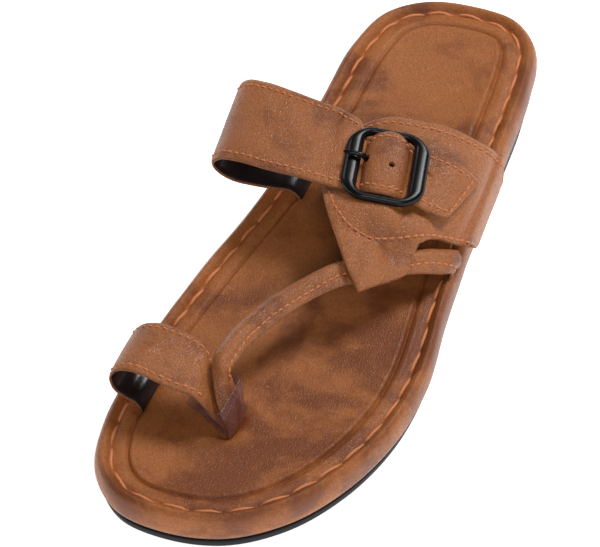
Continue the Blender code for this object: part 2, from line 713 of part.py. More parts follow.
def build_buckle_strap(seat):
    """Wide strap that loops out of the inner side, passes through the buckle and ends on the panel."""
    grid = span(strap_rows(seat), 2, STRAP_COLUMNS)
    tail = 2 * len(TAIL)
    for line in grid[-tail:]:
        for c, point in enumerate(line):
            hit, normal, _, _ = seat.tree.ray_cast(Vector((point.x, point.y, LENGTH)), Vector((0, 0, -1)))
            if hit is not None:
                over = hit.z + (UNDER_BAR + CLEARANCE) / max(abs(normal.z), 0.5)
                point.z = max(point.z, over)
    strap = sheet("buckle_strap", grid, STRAP_LEATHER)
    path = prong_path()
    holes = [rod("hole", seat, start, end, PRONG + CLEARANCE * 2, HOLE_SIDES, CLEARANCE * 2)
             for start, end in zip(path[:4], path[1:4])]
    holes.append(rod("hole", seat, (*SPARE_HOLE, CENTRE_HEIGHT), (*SPARE_HOLE, BULGE * 2), HOLE / 2, HOLE_SIDES))
    return combine(strap, holes, "DIFFERENCE")


def rod(name, seat, start, end, radius, sides, extra=0.0):
    """Round bar between two places of the buckle's frame, longer by some extra at each end."""
    a, b = seat.local(*start), seat.local(*end)
    run = b - a
    bm = bmesh.new()
    bmesh.ops.create_cone(bm, cap_ends=True, segments=sides, radius1=radius, radius2=radius,
                          depth=run.length + 2 * extra)
    turn = run.to_track_quat("Z", "Y").to_matrix().to_4x4()
    bmesh.ops.transform(bm, matrix=Matrix.Translation((a + b) / 2) @ turn, verts=bm.verts)
    return finish(name, bm)


def rounded(half_u, half_v, radius, count):
    """Rounded rectangle as a loop of count points, four corners of equal steps."""
    loop = []
    per = count // 4
    for quarter, (su, sv) in enumerate(((1, 1), (-1, 1), (-1, -1), (1, -1))):
        for k in range(per):
            angle = (quarter + k / (per - 1)) * pi / 2
            loop.append((su * (half_u - radius) + radius * cos(angle),
                         sv * (half_v - radius) + radius * sin(angle)))
    return loop


def bowed(loop):
    """Buckle's outline with its two end bars bent outwards."""
    out = []
    for u, v in loop:
        share = u / (BUCKLE_WIDTH / 2)
        out.append((u + BUCKLE_BOW * share * abs(share) * (1 - (v / (BUCKLE_HEIGHT / 2))**2), v))
    return out


# Buckle's bar section: share of the way from outer to inner edge, share of its depth
BAR_SECTION = ((0.0, 0.35), (0.0, 0.60), (0.22, 1.0), (0.74, 1.0), (1.0, 0.62), (1.0, 0.30), (0.75, 0.0), (0.25, 0.0))


def build_buckle_frame(seat):
    """Rounded frame with wide end bars, thin side bars and a centre bar across its middle."""
    outer = bowed(rounded(BUCKLE_WIDTH / 2, BUCKLE_HEIGHT / 2, BUCKLE_WIDTH * 0.30, 32))
    inner = rounded(BUCKLE_WIDTH / 2 - WIDE_BAR, BUCKLE_HEIGHT / 2 - THIN_BAR, BUCKLE_WIDTH * 0.13, 32)
    bm = bmesh.new()
    loops = []
    for (ou, ov), (iu, iv) in zip(outer, inner):
        loops.append([bm.verts.new(seat.local(ou + (iu - ou) * t, ov + (iv - ov) * t, BAR_LOW + h * BAR_DEPTH))
                      for t, h in BAR_SECTION])
    count = len(BAR_SECTION)
    for i in range(len(loops)):
        a, b = loops[i], loops[(i + 1) % len(loops)]
        for k in range(count):
            n = (k + 1) % count
            bm.faces.new((a[k], a[n], b[n], b[k]))
    frame = finish("buckle_frame", bm)
    reach = BUCKLE_HEIGHT / 2 - THIN_BAR / 2
    bar = rod("bar", seat, (0, -reach, CENTRE_HEIGHT), (0, reach, CENTRE_HEIGHT), CENTRE_BAR, 12)
    return combine(frame, [bar], "UNION")


# Prong's line from its eye: run back from the centre bar and height (of the climb to its rest)
PRONG_LINE = ((0.0021, 0.16), (0.0048, 0.20), (0.0071, 0.38), (0.0092, 0.92), (0.0114, 1.00), (0.0162, 0.97))


def prong_path():
    """Prong's line in the buckle's frame: from its eye over the strap to the inner end bar."""
    rest = BAR_LOW + BAR_DEPTH + CLEARANCE * 1.5 + PRONG
    return [(-run, PRONG_SIDE, blend((CENTRE_HEIGHT, rest), climb)) for run, climb in PRONG_LINE]


def build_prong(seat):
    """Prong with an eye round the centre bar; its tip rests on the frame."""
    path = prong_path()
    bm = bmesh.new()
    sides = 10
    loops = []
    for i, point in enumerate(path):
        before, after = Vector(path[max(i - 1, 0)]), Vector(path[min(i + 1, len(path) - 1)])
        run = (after - before).normalized()
        side = Vector((0, 1, 0))
        up = side.cross(run)
        radius = PRONG * (1.0 - 0.2 * i / (len(path) - 1))
        loops.append([bm.verts.new(seat.local(*(Vector(point) + side * radius * cos(2 * pi * k / sides)
                                                + up * radius * sin(2 * pi * k / sides)))) for k in range(sides)])
    for a, b in zip(loops, loops[1:]):
        for k in range(sides):
            n = (k + 1) % sides
            bm.faces.new((a[k], a[n], b[n], b[k]))
    bm.faces.new(loops[0])
    bm.faces.new(loops[-1])
    prong = finish("buckle_prong", bm)
    half = PRONG_NOTCH / 2 - CLEARANCE * 2
    low, high = PRONG_SIDE - half, PRONG_SIDE + half
    eye = rod("eye", seat, (0, low, CENTRE_HEIGHT), (0, high, CENTRE_HEIGHT),
              CENTRE_BAR + CLEARANCE + KEEPER_LEATHER, 16)
    bore = rod("bore", seat, (0, low, CENTRE_HEIGHT), (0, high, CENTRE_HEIGHT), CENTRE_BAR + CLEARANCE, 12, half)
    combine(prong, [eye], "UNION")
    return combine(prong, [bore], "DIFFERENCE")


def build_keeper(seat):
    """Leather loop that holds the centre bar on the panel, notched for the prong."""
    half = KEEPER_WIDTH / 2
    outer = CENTRE_BAR + CLEARANCE + KEEPER_LEATHER
    keeper = rod("buckle_keeper", seat, (0, -half, CENTRE_HEIGHT), (0, half, CENTRE_HEIGHT), outer, 16)
    base = CLEARANCE * 1.2
    foot = block("foot", (-outer * 0.5, -half, base), (outer * 1.9, half, base + KEEPER_LEATHER), seat.frame)
    web = block("web", (-outer * 0.5, -half, base), (outer * 0.62, half, CENTRE_HEIGHT), seat.frame)
    combine(keeper, [web, foot], "UNION")
    reach = half + KEEPER_LEATHER
    bore = rod("bore", seat, (0, -reach, CENTRE_HEIGHT), (0, reach, CENTRE_HEIGHT), CENTRE_BAR + CLEARANCE, 12)
    low, high = PRONG_SIDE - PRONG_NOTCH / 2, PRONG_SIDE + PRONG_NOTCH / 2
    notch = block("notch", (-2 * outer, low, 0), (outer * 1.25, high, BULGE), seat.frame)
    return combine(keeper, [bore, notch], "DIFFERENCE")


def build_sleeve():
    """Thin film sleeve round the two straps at the toe post."""
    bm = bmesh.new()
    sides = 16
    walls = []
    for side in (1, -1):
        loops = []
        for along, across, rise, length, width in SLEEVE:
            centre = place(along, across, rise)
            grow = side * FILM / 2
            outline = rounded(width * POST_LENGTH + grow, length * POST_LENGTH + grow, SLEEVE_CORNER + grow, sides)
            loops.append([bm.verts.new(centre + Vector((x, y, 0))) for x, y in outline])
        walls.append(loops)
    outside, inside = walls
    for loops in walls:
        for a, b in zip(loops, loops[1:]):
            for k in range(sides):
                n = (k + 1) % sides
                bm.faces.new((a[k], a[n], b[n], b[k]))
    for level in (0, -1):
        for k in range(sides):
            n = (k + 1) % sides
            bm.faces.new((outside[level][k], outside[level][n], inside[level][n], inside[level][k]))
    return finish("toe_post_sleeve", bm)


def clear_scene():
    for obj in list(bpy.data.objects):
        bpy.data.objects.remove(obj)


def centre_on_floor(objects):
    """Parents every piece to one empty whose place puts the origin under the sandal's middle."""
    bpy.context.view_layer.update()
    points = [obj.matrix_world @ v.co for obj in objects for v in obj.data.vertices]
    low = Vector(min(p[i] for p in points) for i in range(3))
    high = Vector(max(p[i] for p in points) for i in range(3))
    empty = bpy.data.objects.new("sandal", None)
    bpy.context.scene.collection.objects.link(empty)
    empty.location = (-(low.x + high.x) / 2, -(low.y + high.y) / 2, -low.z)
    for obj in objects:
        obj.parent = empty


def main():
    clear_scene()
    last = Last()
    grid = panel_grid(last)
    panel = sheet("panel", grid, PANEL_LEATHER)
    seat = Seat(panel)
    bpy.data.objects.remove(panel)
    pieces = [
        build_outsole(last),
        build_footbed(last, grid),
        build_upper(grid),
        build_buckle_strap(seat),
        build_buckle_frame(seat),
        build_prong(seat),
        build_keeper(seat),
        build_sleeve(),
    ]
    for piece in pieces:
        piece.data.shade_smooth()
        piece.data.set_sharp_from_angle(angle=radians(40))
    centre_on_floor(pieces)


main()
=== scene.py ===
"""Looks of the left toe ring sandal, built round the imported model, in metres, +Z up.

Toe towards -Y, heel towards +Y, the outer side of the foot is +X. Tables hold shares: along is
a share of LENGTH from the heel, across a share of BALL_WIDTH from the last's middle line, and
rise a share of STRAP_RISE above the rim at that place.
"""
import bmesh
import bpy
import numpy as np
from math import cos, pi, radians, sin
from mathutils import Matrix, Vector
from mathutils.bvhtree import BVHTree

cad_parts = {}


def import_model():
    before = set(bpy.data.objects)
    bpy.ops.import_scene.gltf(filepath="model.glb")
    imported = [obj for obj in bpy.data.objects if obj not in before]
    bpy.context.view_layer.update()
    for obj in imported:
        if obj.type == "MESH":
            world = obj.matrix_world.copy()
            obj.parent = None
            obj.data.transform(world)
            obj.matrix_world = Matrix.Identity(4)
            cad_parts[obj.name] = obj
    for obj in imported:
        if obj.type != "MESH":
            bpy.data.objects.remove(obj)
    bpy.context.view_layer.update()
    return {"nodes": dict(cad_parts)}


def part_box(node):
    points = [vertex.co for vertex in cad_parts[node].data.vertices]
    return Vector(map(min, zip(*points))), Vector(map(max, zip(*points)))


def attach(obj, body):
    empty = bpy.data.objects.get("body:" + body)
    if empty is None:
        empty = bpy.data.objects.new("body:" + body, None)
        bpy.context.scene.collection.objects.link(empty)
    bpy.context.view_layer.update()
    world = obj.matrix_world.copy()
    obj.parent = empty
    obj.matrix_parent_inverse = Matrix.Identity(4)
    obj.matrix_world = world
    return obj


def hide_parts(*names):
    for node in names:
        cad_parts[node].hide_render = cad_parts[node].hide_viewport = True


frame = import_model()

bl_info = {
    "name": "Toe ring sandal",
    "version": (1, 0, 0),
    "blender": (4, 5, 0),
    "location": "3D View > Sidebar > Sandal",
    "description": "Builds a leather toe ring sandal with its stitching, buckle and stage",
    "category": "Add Mesh",
}

# Driving dimensions
LENGTH = 0.2775
BALL_WIDTH = 0.100
TOE_SPRING = 0.0045
OUTSOLE_HEEL = 0.012
PAD_HEEL = 0.015
RIM_REACH = 0.016
STRAP_RISE = 0.025
CLEARANCE = 0.0003

# Buckle
BUCKLE_ALONG = 0.428
BUCKLE_ACROSS = 0.078
BUCKLE_TURN = 14.0
BUCKLE_WIDTH = 0.0290
BUCKLE_HEIGHT = 0.0335
HALF_WIDTH = BUCKLE_WIDTH / 2
HALF_HEIGHT = BUCKLE_HEIGHT / 2
WIDE_BAR = 0.0050
THIN_BAR = 0.0028
BAR_DEPTH = 0.0030
BUCKLE_BOW = 0.0012
CENTRE_BAR = 0.0010
CENTRE_SINK = 0.0011
PRONG = 0.0011
PRONG_SIDE = -0.0012
KEEPER_LEATHER = 0.0010
HOLE = 0.0022
SPARE_HOLE = (0.0020, 0.0021)
BULGE_CROWN = 0.0018

# Sampling, and a height above every piece
ABOVE_ALL = 0.2
SEAM_POINTS = 900
FOOTBED_COLUMNS = 60
OUTSOLE_COLUMNS = 90
STATIONS = 200
NORMAL_PASSES = 30
RING_PASSES = 90
OUTLINE_STEPS = 20
STRAP_STEPS = 8
SECTION_STEPS = 4

# Outline of the rim: along, across
HEEL_TIP = (0.0, -0.010)
LATERAL = (
    (0.006, 0.174), (0.041, 0.285), (0.119, 0.345), (0.214, 0.373), (0.324, 0.396), (0.435, 0.422),
    (0.541, 0.455), (0.650, 0.500), (0.738, 0.490), (0.835, 0.416), (0.919, 0.289), (0.980, 0.101),
)
TOE_TIP = (1.0, -0.104)
MEDIAL = (
    (0.016, -0.197), (0.057, -0.327), (0.138, -0.385), (0.246, -0.382), (0.373, -0.381), (0.483, -0.413),
    (0.590, -0.465), (0.699, -0.497), (0.795, -0.499), (0.884, -0.478), (0.951, -0.416), (0.993, -0.282),
)

# Side profile: along, lift (of TOE_SPRING), outsole (of OUTSOLE_HEEL), pad and cup (of PAD_HEEL), and the
# width of the padded rim (of RIM_REACH)
PROFILE = (
    (0.00, 0.00, 1.00, 1.00, 0.00, 0.77),
    (0.14, 0.00, 0.99, 0.99, -0.10, 0.85),
    (0.25, 0.00, 0.95, 0.97, -0.06, 0.85),
    (0.40, 0.33, 0.66, 0.938, 0.08, 0.78),
    (0.55, 0.00, 0.45, 0.966, 0.04, 0.72),
    (0.65, 0.00, 0.38, 0.896, -0.02, 0.70),
    (0.80, 0.00, 0.38, 0.896, -0.03, 0.68),
    (0.90, 0.29, 0.37, 0.896, -0.02, 0.68),
    (1.00, 1.00, 0.35, 0.888, 0.00, 0.68),
)

# Footbed section from its base round the padded rim to the sock: inset (of the rim's width), height
# (of the pad)
FOOTBED_SECTION = (
    (0.25, 0.00), (0.09, 0.10), (0.01, 0.28), (0.00, 0.50), (0.03, 0.74), (0.11, 0.92), (0.24, 1.00),
    (0.38, 0.93), (0.50, 0.81), (0.62, 0.85), (0.80, 0.87), (0.91, 0.86), (0.98, 0.82), (1.02, 0.79),
    (1.06, 0.83), (1.11, 0.885), (1.18, 0.905), (1.24, 0.90),
)

# Outsole section from the ground to its upper face: inset (of the rim's width), height (of the outsole)
OUTSOLE_SECTION = (
    (0.36, 0.00), (0.27, 0.03), (0.20, 0.12), (0.17, 0.28), (0.15, 0.50), (0.13, 0.86), (0.135, 0.95),
    (0.16, 1.00), (0.36, 1.00),
)

# Panel over the outer side, heel edge then toe edge: along, across, rise of each, then crown
PANEL_FRONT = (
    (0.280, 0.372, 0.08, 0.445, 0.397, 0.10, 0.00),
    (0.290, 0.352, 0.30, 0.457, 0.372, 0.25, 0.08),
    (0.300, 0.316, 0.48, 0.467, 0.334, 0.38, 0.11),
    (0.306, 0.245, 0.65, 0.487, 0.290, 0.50, 0.11),
    (0.307, 0.215, 0.68, 0.505, 0.272, 0.545, 0.10),
    (0.310, 0.172, 0.73, 0.540, 0.294, 0.46, 0.10),
    (0.312, 0.148, 0.745, 0.559, 0.264, 0.495, 0.10),
    (0.315, 0.120, 0.76, 0.574, 0.228, 0.52, 0.10),
    (0.318, 0.089, 0.78, 0.611, 0.186, 0.74, 0.08),
)
PANEL_INNER = (
    PANEL_FRONT[-1],
    (0.322, 0.045, 0.80, 0.596, 0.143, 0.77, 0.07),
    (0.325, 0.005, 0.80, 0.579, 0.097, 0.83, 0.06),
    (0.334, -0.040, 0.80, 0.546, 0.023, 0.88, 0.05),
    (0.350, -0.090, 0.78, 0.504, -0.065, 0.88, 0.03),
    (0.364, -0.140, 0.77, 0.467, -0.124, 0.82, 0.02),
)
# Where the panel lies in the rim's outer face: inset (of RIM_REACH), height (of the pad), and the
# along shares of its heel edge and toe edge
HUG = (
    (0.01, 0.16, 0.285, 0.398),
    (-0.04, 0.30, 0.283, 0.405),
    (-0.05, 0.50, 0.280, 0.413),
    (-0.045, 0.76, 0.278, 0.422),
    (-0.02, 0.98, 0.277, 0.431),
    (0.01, 1.09, 0.277, 0.438),
)

# Thong from the outer rim under the panel's fold to the toe post, inner edge then outer edge
THONG = (
    (0.460, 0.380, -0.34, 0.497, 0.390, -0.33, 0.00),
    (0.4535, 0.397, -0.10, 0.4895, 0.407, -0.09, 0.00),
    (0.4525, 0.401, -0.02, 0.488, 0.411, -0.02, 0.00),
    (0.454, 0.401, 0.06, 0.4885, 0.411, 0.05, 0.01),
    (0.4615, 0.384, 0.145, 0.4965, 0.406, 0.125, 0.02),
    (0.4725, 0.349, 0.235, 0.509, 0.381, 0.235, 0.03),
    (0.4875, 0.307, 0.35, 0.5225, 0.345, 0.345, 0.03),
    (0.5035, 0.268, 0.445, 0.5355, 0.302, 0.415, 0.03),
    (0.534, 0.180, 0.50, 0.566, 0.212, 0.455, 0.03),
    (0.565, 0.069, 0.61, 0.596, 0.130, 0.63, 0.03),
    (0.625, -0.039, 0.70, 0.643, 0.037, 0.70, 0.03),
    (0.693, -0.123, 0.72, 0.712, -0.048, 0.71, 0.03),
    (0.745, -0.160, 0.71, 0.757, -0.085, 0.70, 0.03),
    (0.786, -0.162, 0.66, 0.789, -0.098, 0.63, 0.02),
    (0.808, -0.132, 0.50, 0.787, -0.098, 0.50, 0.00),
    (0.831, -0.082, 0.25, 0.796, -0.066, 0.28, 0.00),
    (0.836, -0.047, -0.01, 0.798, -0.047, 0.00, 0.00),
    (0.836, -0.045, -0.31, 0.799, -0.045, -0.30, 0.00),
)

# Toe ring from the inner rim over the big toe to the toe post, heel edge then toe edge
RING = (
    (0.764, -0.380, -0.32, 0.842, -0.380, -0.33, 0.00),
    (0.764, -0.383, -0.07, 0.842, -0.383, -0.08, 0.00),
    (0.764, -0.402, 0.05, 0.843, -0.402, 0.04, 0.00),
    (0.763, -0.440, 0.10, 0.843, -0.440, 0.09, 0.00),
    (0.761, -0.481, 0.25, 0.844, -0.478, 0.22, 0.00),
    (0.761, -0.495, 0.45, 0.844, -0.490, 0.44, 0.00),
    (0.761, -0.466, 0.63, 0.844, -0.460, 0.64, -0.01),
    (0.761, -0.416, 0.74, 0.844, -0.404, 0.73, -0.02),
    (0.761, -0.352, 0.77, 0.844, -0.318, 0.69, -0.02),
    (0.761, -0.280, 0.72, 0.844, -0.240, 0.63, -0.02),
    (0.764, -0.220, 0.62, 0.842, -0.175, 0.60, -0.01),
    (0.779, -0.184, 0.46, 0.840, -0.142, 0.45, 0.00),
    (0.797, -0.128, 0.26, 0.838, -0.112, 0.23, 0.00),
    (0.798, -0.064, 0.00, 0.836, -0.063, -0.01, 0.00),
    (0.799, -0.060, -0.30, 0.836, -0.060, -0.31, 0.00),
)

# Buckle strap from its slit out over the inner rim and back over the instep, heel edge then toe edge
BUCKLE_STRAP = (
    (0.330, -0.250, -0.44, 0.435, -0.255, -0.40, 0.00),
    (0.330, -0.255, -0.10, 0.435, -0.258, -0.07, 0.00),
    (0.330, -0.276, 0.04, 0.438, -0.286, 0.06, 0.00),
    (0.330, -0.326, 0.10, 0.446, -0.348, 0.12, 0.00),
    (0.332, -0.396, 0.14, 0.454, -0.424, 0.17, 0.00),
    (0.334, -0.492, 0.25, 0.459, -0.500, 0.22, 0.00),
    (0.337, -0.573, 0.50, 0.465, -0.553, 0.41, 0.00),
    (0.339, -0.600, 0.72, 0.469, -0.562, 0.58, 0.00),
    (0.343, -0.570, 0.90, 0.474, -0.528, 0.79, -0.01),
    (0.348, -0.490, 1.02, 0.481, -0.445, 0.96, -0.02),
    (0.353, -0.376, 1.06, 0.486, -0.310, 1.04, -0.02),
    (0.3545, -0.258, 1.03, 0.484, -0.193, 1.05, -0.02),
    (0.354, -0.173, 1.01, 0.4825, -0.113, 1.03, -0.01),
)

# Buckle strap through the buckle, in shares of the buckle's half width and half height:
# run, heel edge, toe edge, and each edge's bulge as a share of the height that clears the keeper
BUCKLE_RUN = (
    (-1.13, -1.39, 0.66, 0.00, 0.00),
    (-0.92, -1.31, 0.66, 0.00, 0.00),
    (-0.74, -1.12, 0.67, 0.00, 0.00),
    (-0.64, -0.85, 0.68, 0.00, 0.00),
    (-0.53, -0.76, 0.70, 0.08, 0.06),
    (-0.38, -0.78, 0.74, 0.62, 0.44),
    (-0.22, -0.80, 0.78, 0.90, 0.65),
    (0.00, -0.83, 0.80, 1.00, 0.72),
    (0.22, -0.80, 0.79, 0.93, 0.67),
    (0.38, -0.77, 0.76, 0.62, 0.44),
    (0.50, -0.745, 0.72, 0.22, 0.15),
    (0.62, -0.74, 0.70, 0.00, 0.00),
    (0.80, -0.78, 0.71, 0.00, 0.00),
)

# Strap's tail on the panel: run and side of the heel edge, of the toe edge, then each edge's lift (m)
TAIL = (
    (1.24, -0.76, 1.15, 0.71, 0.0002, 0.0008),
    (1.76, -0.68, 1.38, 0.69, 0.0002, 0.0014),
    (2.26, -0.60, 1.58, 0.65, 0.0002, 0.0018),
)

# Film sleeve at the toe post: along, across, rise, half length and half width (of POST_LENGTH)
POST_LENGTH = 0.0110
SLEEVE_CORNER = 0.0013
SLEEVE = (
    (0.8175, -0.0565, -0.02, 0.61, 0.26),
    (0.8175, -0.0685, 0.08, 0.61, 0.33),
    (0.8173, -0.0875, 0.20, 0.64, 0.43),
    (0.8150, -0.1100, 0.32, 0.72, 0.53),
    (0.8114, -0.1320, 0.42, 0.85, 0.58),
)

# Heights over the panel in the buckle's own frame
STRAP_LEATHER = 0.0020
UNDER_BAR = CLEARANCE + STRAP_LEATHER / 2
BAR_LOW = UNDER_BAR + STRAP_LEATHER / 2 + CLEARANCE
CENTRE_HEIGHT = BAR_LOW + BAR_DEPTH / 2 - CENTRE_SINK
KEEPER_TOP = CENTRE_HEIGHT + CENTRE_BAR + CLEARANCE + KEEPER_LEATHER
BULGE = KEEPER_TOP + CLEARANCE * 2 + STRAP_LEATHER / 2
# Prong from its eye to its tip: run from the centre bar (m), climb (share)
PRONG_LINE = (
    (0.0021, 0.16), (0.0048, 0.20), (0.0071, 0.38), (0.0092, 0.92), (0.0114, 1.00), (0.0162, 0.97),
)
PRONG_TAPER = 0.22
PRONG_TIP = (0.92, 0.75, 0.45)
# Corner radii of the buckle's outer and inner outline (of its width), and points round each outline
OUTER_CORNER = 0.30
INNER_CORNER = 0.13
BUCKLE_POINTS = 96
# Direction that no bar of the buckle runs along
SKEW = (0.13, 0.31, 0.94)
# Section of the buckle's bars: share from the outer to the inner outline, share of BAR_DEPTH
BAR_SECTION = (
    (0.00, 0.30), (0.00, 0.55), (0.06, 0.72), (0.24, 0.96), (0.34, 1.00), (0.66, 1.00), (0.78, 0.94),
    (0.97, 0.62), (1.00, 0.50), (1.00, 0.25), (0.88, 0.04), (0.74, 0.00), (0.26, 0.00), (0.10, 0.06),
)

# Seams: insets of the rim's (of its width), the panel's and the straps' from the edge, the rim's thread
# (of the straps' thread), and the hollows and furrows that the thread pulls
STITCH_INSET = 0.50
RIM_THREAD = 1.85
RIM_HOLLOW = 0.00025
HOLLOW_WIDTH = 0.10
PANEL_SEAM = 0.0032
PANEL_FURROW = 0.00030
THONG_SEAM = 0.0070
RING_SEAM = 0.0020
STRAP_SEAM = 0.0026
FURROW = 0.00022
THONG_FURROW = 0.0003
FURROW_WIDTHS = {"panel": 0.0009, "thong": 0.0006, "strap": 0.0008}

# Stitches: sides and steps of each, how far their places, lengths and leans vary (shares), the thread's
# width at a tip, and its width and height
STITCH_SIDES = 6
STITCH_STEPS = 6
STITCH_OFF = 0.04
STITCH_LENGTHS = (0.94, 1.05)
STITCH_LEAN = 0.03
THREAD_TIP = 0.62
THREAD_SHAPE = (1.1, 0.85)

# Straps: width and columns of the mesh, rows without stitches at its start and at its end, and the
# height, scale and seed of its ripples
STRAPS = {
    "panel": ((0.060, 44), (30, 3), (0.00018, 0.018, 8)),
    "thong": ((0.0105, 16), (8, 24), (0.00012, 0.012, 21)),
    "ring": ((0.0225, 24), (24, 26), (0.00020, 0.014, 31)),
    "buckle": ((0.030, 30), (26, 3), (0.00022, 0.020, 41)),
}
# Cut edges: reach of their rounding (m), how far out and how high their corners lie (of half the leather)
EDGE_REACH = 0.0007
EDGE_OUT = 0.5
EDGE_RISE = 0.28
# Padded half of the thong: height, inset and reach
THONG_PAD = 0.0011
THONG_PAD_INSET = 0.0034
THONG_PAD_REACH = 0.0022

# Sock: distance over which its cup starts at the heel, inset where its waves start, their height, scale
# and seed, and the dips round the slits with their reach and the height over the outsole where they end
SOCK_FADE = 0.045
SOCK_INSET = 0.80
SOCK_WAVE = (0.00030, 0.045, 5)
SLIT_DIP = 0.0018
SLIT_REACH = 0.0026
SLIT_LOW = 0.004
# Rucks beside the rim's seam: height, number to a stitch, wander, evenness and its change, the bands where
# they lie (inset, width, share), and the share of the pad above which the rim is sewn and rucked
RUCK = 0.00014
RUCKS = 2.5
RUCK_WANDER = (2.2, 0.03, 3)
RUCK_EVEN = 0.6
RUCK_CHANGE = (0.4, 0.02, 4)
RUCK_BANDS = ((0.35, 0.14, 1.0), (0.66, 0.10, 0.5))
RUCK_LOW = 0.45

# Tread: number, crowding, wave and lean of the grooves in front, pitch and bow of the heel's ribs, pitch
# and depth of the waist's lines, and where each pattern starts and ends along the sole
FRONT_GROOVES = 19
FRONT_CROWDING = 1.25
WAVE_HEIGHT = 0.012
WAVE_PITCH = 0.0135
WAVE_LEAN = 0.06
RIB_PITCH = 0.0092
RIB_BOW = 0.010
WAIST_PITCH = 0.016
WAIST_DEPTH = 0.25
FRONT_ZONE = (0.50, 0.955, 0.03)
HEEL_ZONE = (0.055, 0.27)
WAIST_ZONE = (0.28, 0.48)

# Swells of the panel, seen from above: centre, reach along and across, turn in degrees, height
PANEL_SWELLS = (
    ((0.0180, 0.0025), (0.020, 0.0060), 10.0, 0.0036),
    ((0.0210, -0.0085), (0.018, 0.0030), 8.0, -0.0012),
    ((0.0220, -0.0170), (0.012, 0.0050), -35.0, 0.0009),
)
# Lower seam of the panel as the camera sees it, in picture units
PANEL_LOWER_LINE = (
    (473, 243), (450, 238), (430, 235), (395, 238), (372, 238), (350, 225), (335, 205), (328, 190),
)

# Leathers: grain scale, bump depth, cloud scale, specular
LEATHERS = {"oiled_footbed": (1100.0, 0.00030, 30.0, 0.30), "oiled_strap": (1000.0, 0.00060, 34.0, 0.50)}
# Plain materials: colour, roughness, noise scale, bump depth, specular, fleck
PLAINS = {
    "raw_edge": ("edge", 0.8, 900.0, 0.0002, 0.2, 0.35),
    "dark_lining": ("lining", 0.28, 600.0, 0.00008, 0.6, 0.2),
    "waxed_thread": ("thread", 0.55, 2600.0, 0.0002, 0.3, 0.3),
    "black_rubber": ("rubber", 0.6, 1500.0, 0.00006, 0.18, 0.3),
    "black_enamel": ("metal", 0.28, 500.0, 0.00001, 0.25, 0.2),
    "clear_film": ("film", 0.22, 240.0, 0.00025, 0.6, 0.3),
    "stage_floor": ("floor", 0.9, 30.0, 0.0001, 0.1, 0.01),
}
# Film: opacity, half its wall, its room round the sleeve's table, and its dents' height, scale and seed
FILM_ALPHA = 0.20
FILM_WALL = 0.00012
FILM_ROOM = 0.0003
FILM_DENTS = (0.00045, 0.006, 51)
# Materials of a strap's face, edge and lining, and the sockets of the leather's node group
LEATHER_SET = ("oiled_strap", "raw_edge", "dark_lining")
GROUP_SOCKETS = {
    "INPUT": (("Place", "Vector"), ("Leather", "Color"), ("Cloud", "Color"), ("Rub", "Color"),
              ("Cloud Scale", "Float"), ("Grain Scale", "Float")),
    "OUTPUT": (("Colour", "Color"), ("Roughness", "Float"), ("Height", "Float")),
}

# Lights: name, place, size and power; then the floor's glow and the sky's strength
LIGHTS = (
    ("key_light", (0.30, 0.70, 1.00), (0.40, 0.40), 10.4),
    ("fill_light", (0.45, -0.85, 0.85), (0.60, 0.50), 5.6),
    ("side_light", (-0.80, 0.30, 0.60), (0.40, 0.40), 1.3),
)
FLOOR_GLOW = 0.82
SKY = 0.10

# Camera at the photo's angle to the shoe
PICTURE = (600, 547)
FOCAL_PIXELS = 3020.9
CAMERA_TARGET = (0.0, -0.00585, 0.020)
CAMERA_AZIMUTH = 23.742
CAMERA_ELEVATION = 47.429
CAMERA_ROLL = -0.697
CAMERA_OFFSET = (-0.01373, -0.00430, 1.1106)
CAMERA_REACH = (0.05, 20.0)


def length_property(name, description, default):
    return bpy.props.FloatProperty(name=name, description=description, default=default, unit="LENGTH")


def colour_property(name, description, default):
    return bpy.props.FloatVectorProperty(
        name=name, description=description, subtype="COLOR", size=3, min=0.0, max=1.0, default=default)


class SandalSizes(bpy.types.PropertyGroup):
    panel_leather: length_property("Panel leather", "Thickness of the panel", 0.0020)
    strap_leather: length_property("Strap leather", "Thickness of the buckle strap", STRAP_LEATHER)
    ring_leather: length_property("Ring leather", "Thickness of the thong and the toe ring", 0.0018)
    rim_stitch: length_property("Rim stitch", "Length of a stitch round the footbed", 0.0104)
    rim_pitch: length_property("Rim pitch", "Distance from stitch to stitch round the footbed", 0.0119)
    strap_stitch: length_property("Strap stitch", "Length of a stitch on the straps", 0.0024)
    strap_pitch: length_property("Strap pitch", "Distance from stitch to stitch on the straps", 0.0029)
    thread: length_property("Thread", "Width of the sewing thread", 0.0007)
    groove: length_property("Groove", "Depth of the outsole's grooves", 0.0014)
    floor: length_property("Floor", "Width of the floor", 6.0)


class SandalColours(bpy.types.PropertyGroup):
    leather: colour_property("Leather", "Main colour of the oiled leather", (0.42, 0.138, 0.036))
    cloud: colour_property("Cloud", "Darker clouds in the leather", (0.205, 0.056, 0.015))
    rub: colour_property("Rub", "Lighter rubbed places in the leather", (0.55, 0.205, 0.056))
    edge: colour_property("Cut edge", "Raw edge of the leather", (0.27, 0.105, 0.045))
    lining: colour_property("Lining", "Underside of the straps", (0.020, 0.011, 0.011))
    thread: colour_property("Thread", "Sewing thread", (0.66, 0.235, 0.092))
    rubber: colour_property("Rubber", "Outsole", (0.007, 0.007, 0.009))
    metal: colour_property("Buckle", "Enamel of the buckle", (0.004, 0.004, 0.005))
    film: colour_property("Film", "Sleeve at the toe post", (0.20, 0.085, 0.10))
    floor: colour_property("Floor", "Stage floor", (0.93, 0.93, 0.93))


def sizes():
    return bpy.context.scene.sandal_sizes


def colours():
    return bpy.context.scene.sandal_colours


# Curves and tables

def hermite(t, h, a, b, leaving, arriving):
    """Value at a share t of a step of length h from a to b, by the slopes at its ends."""
    start = (2 * t**3 - 3 * t**2 + 1) * a + (t**3 - 2 * t**2 + t) * h * leaving
    return start + (3 * t**2 - 2 * t**3) * b + (t**3 - t**2) * h * arriving


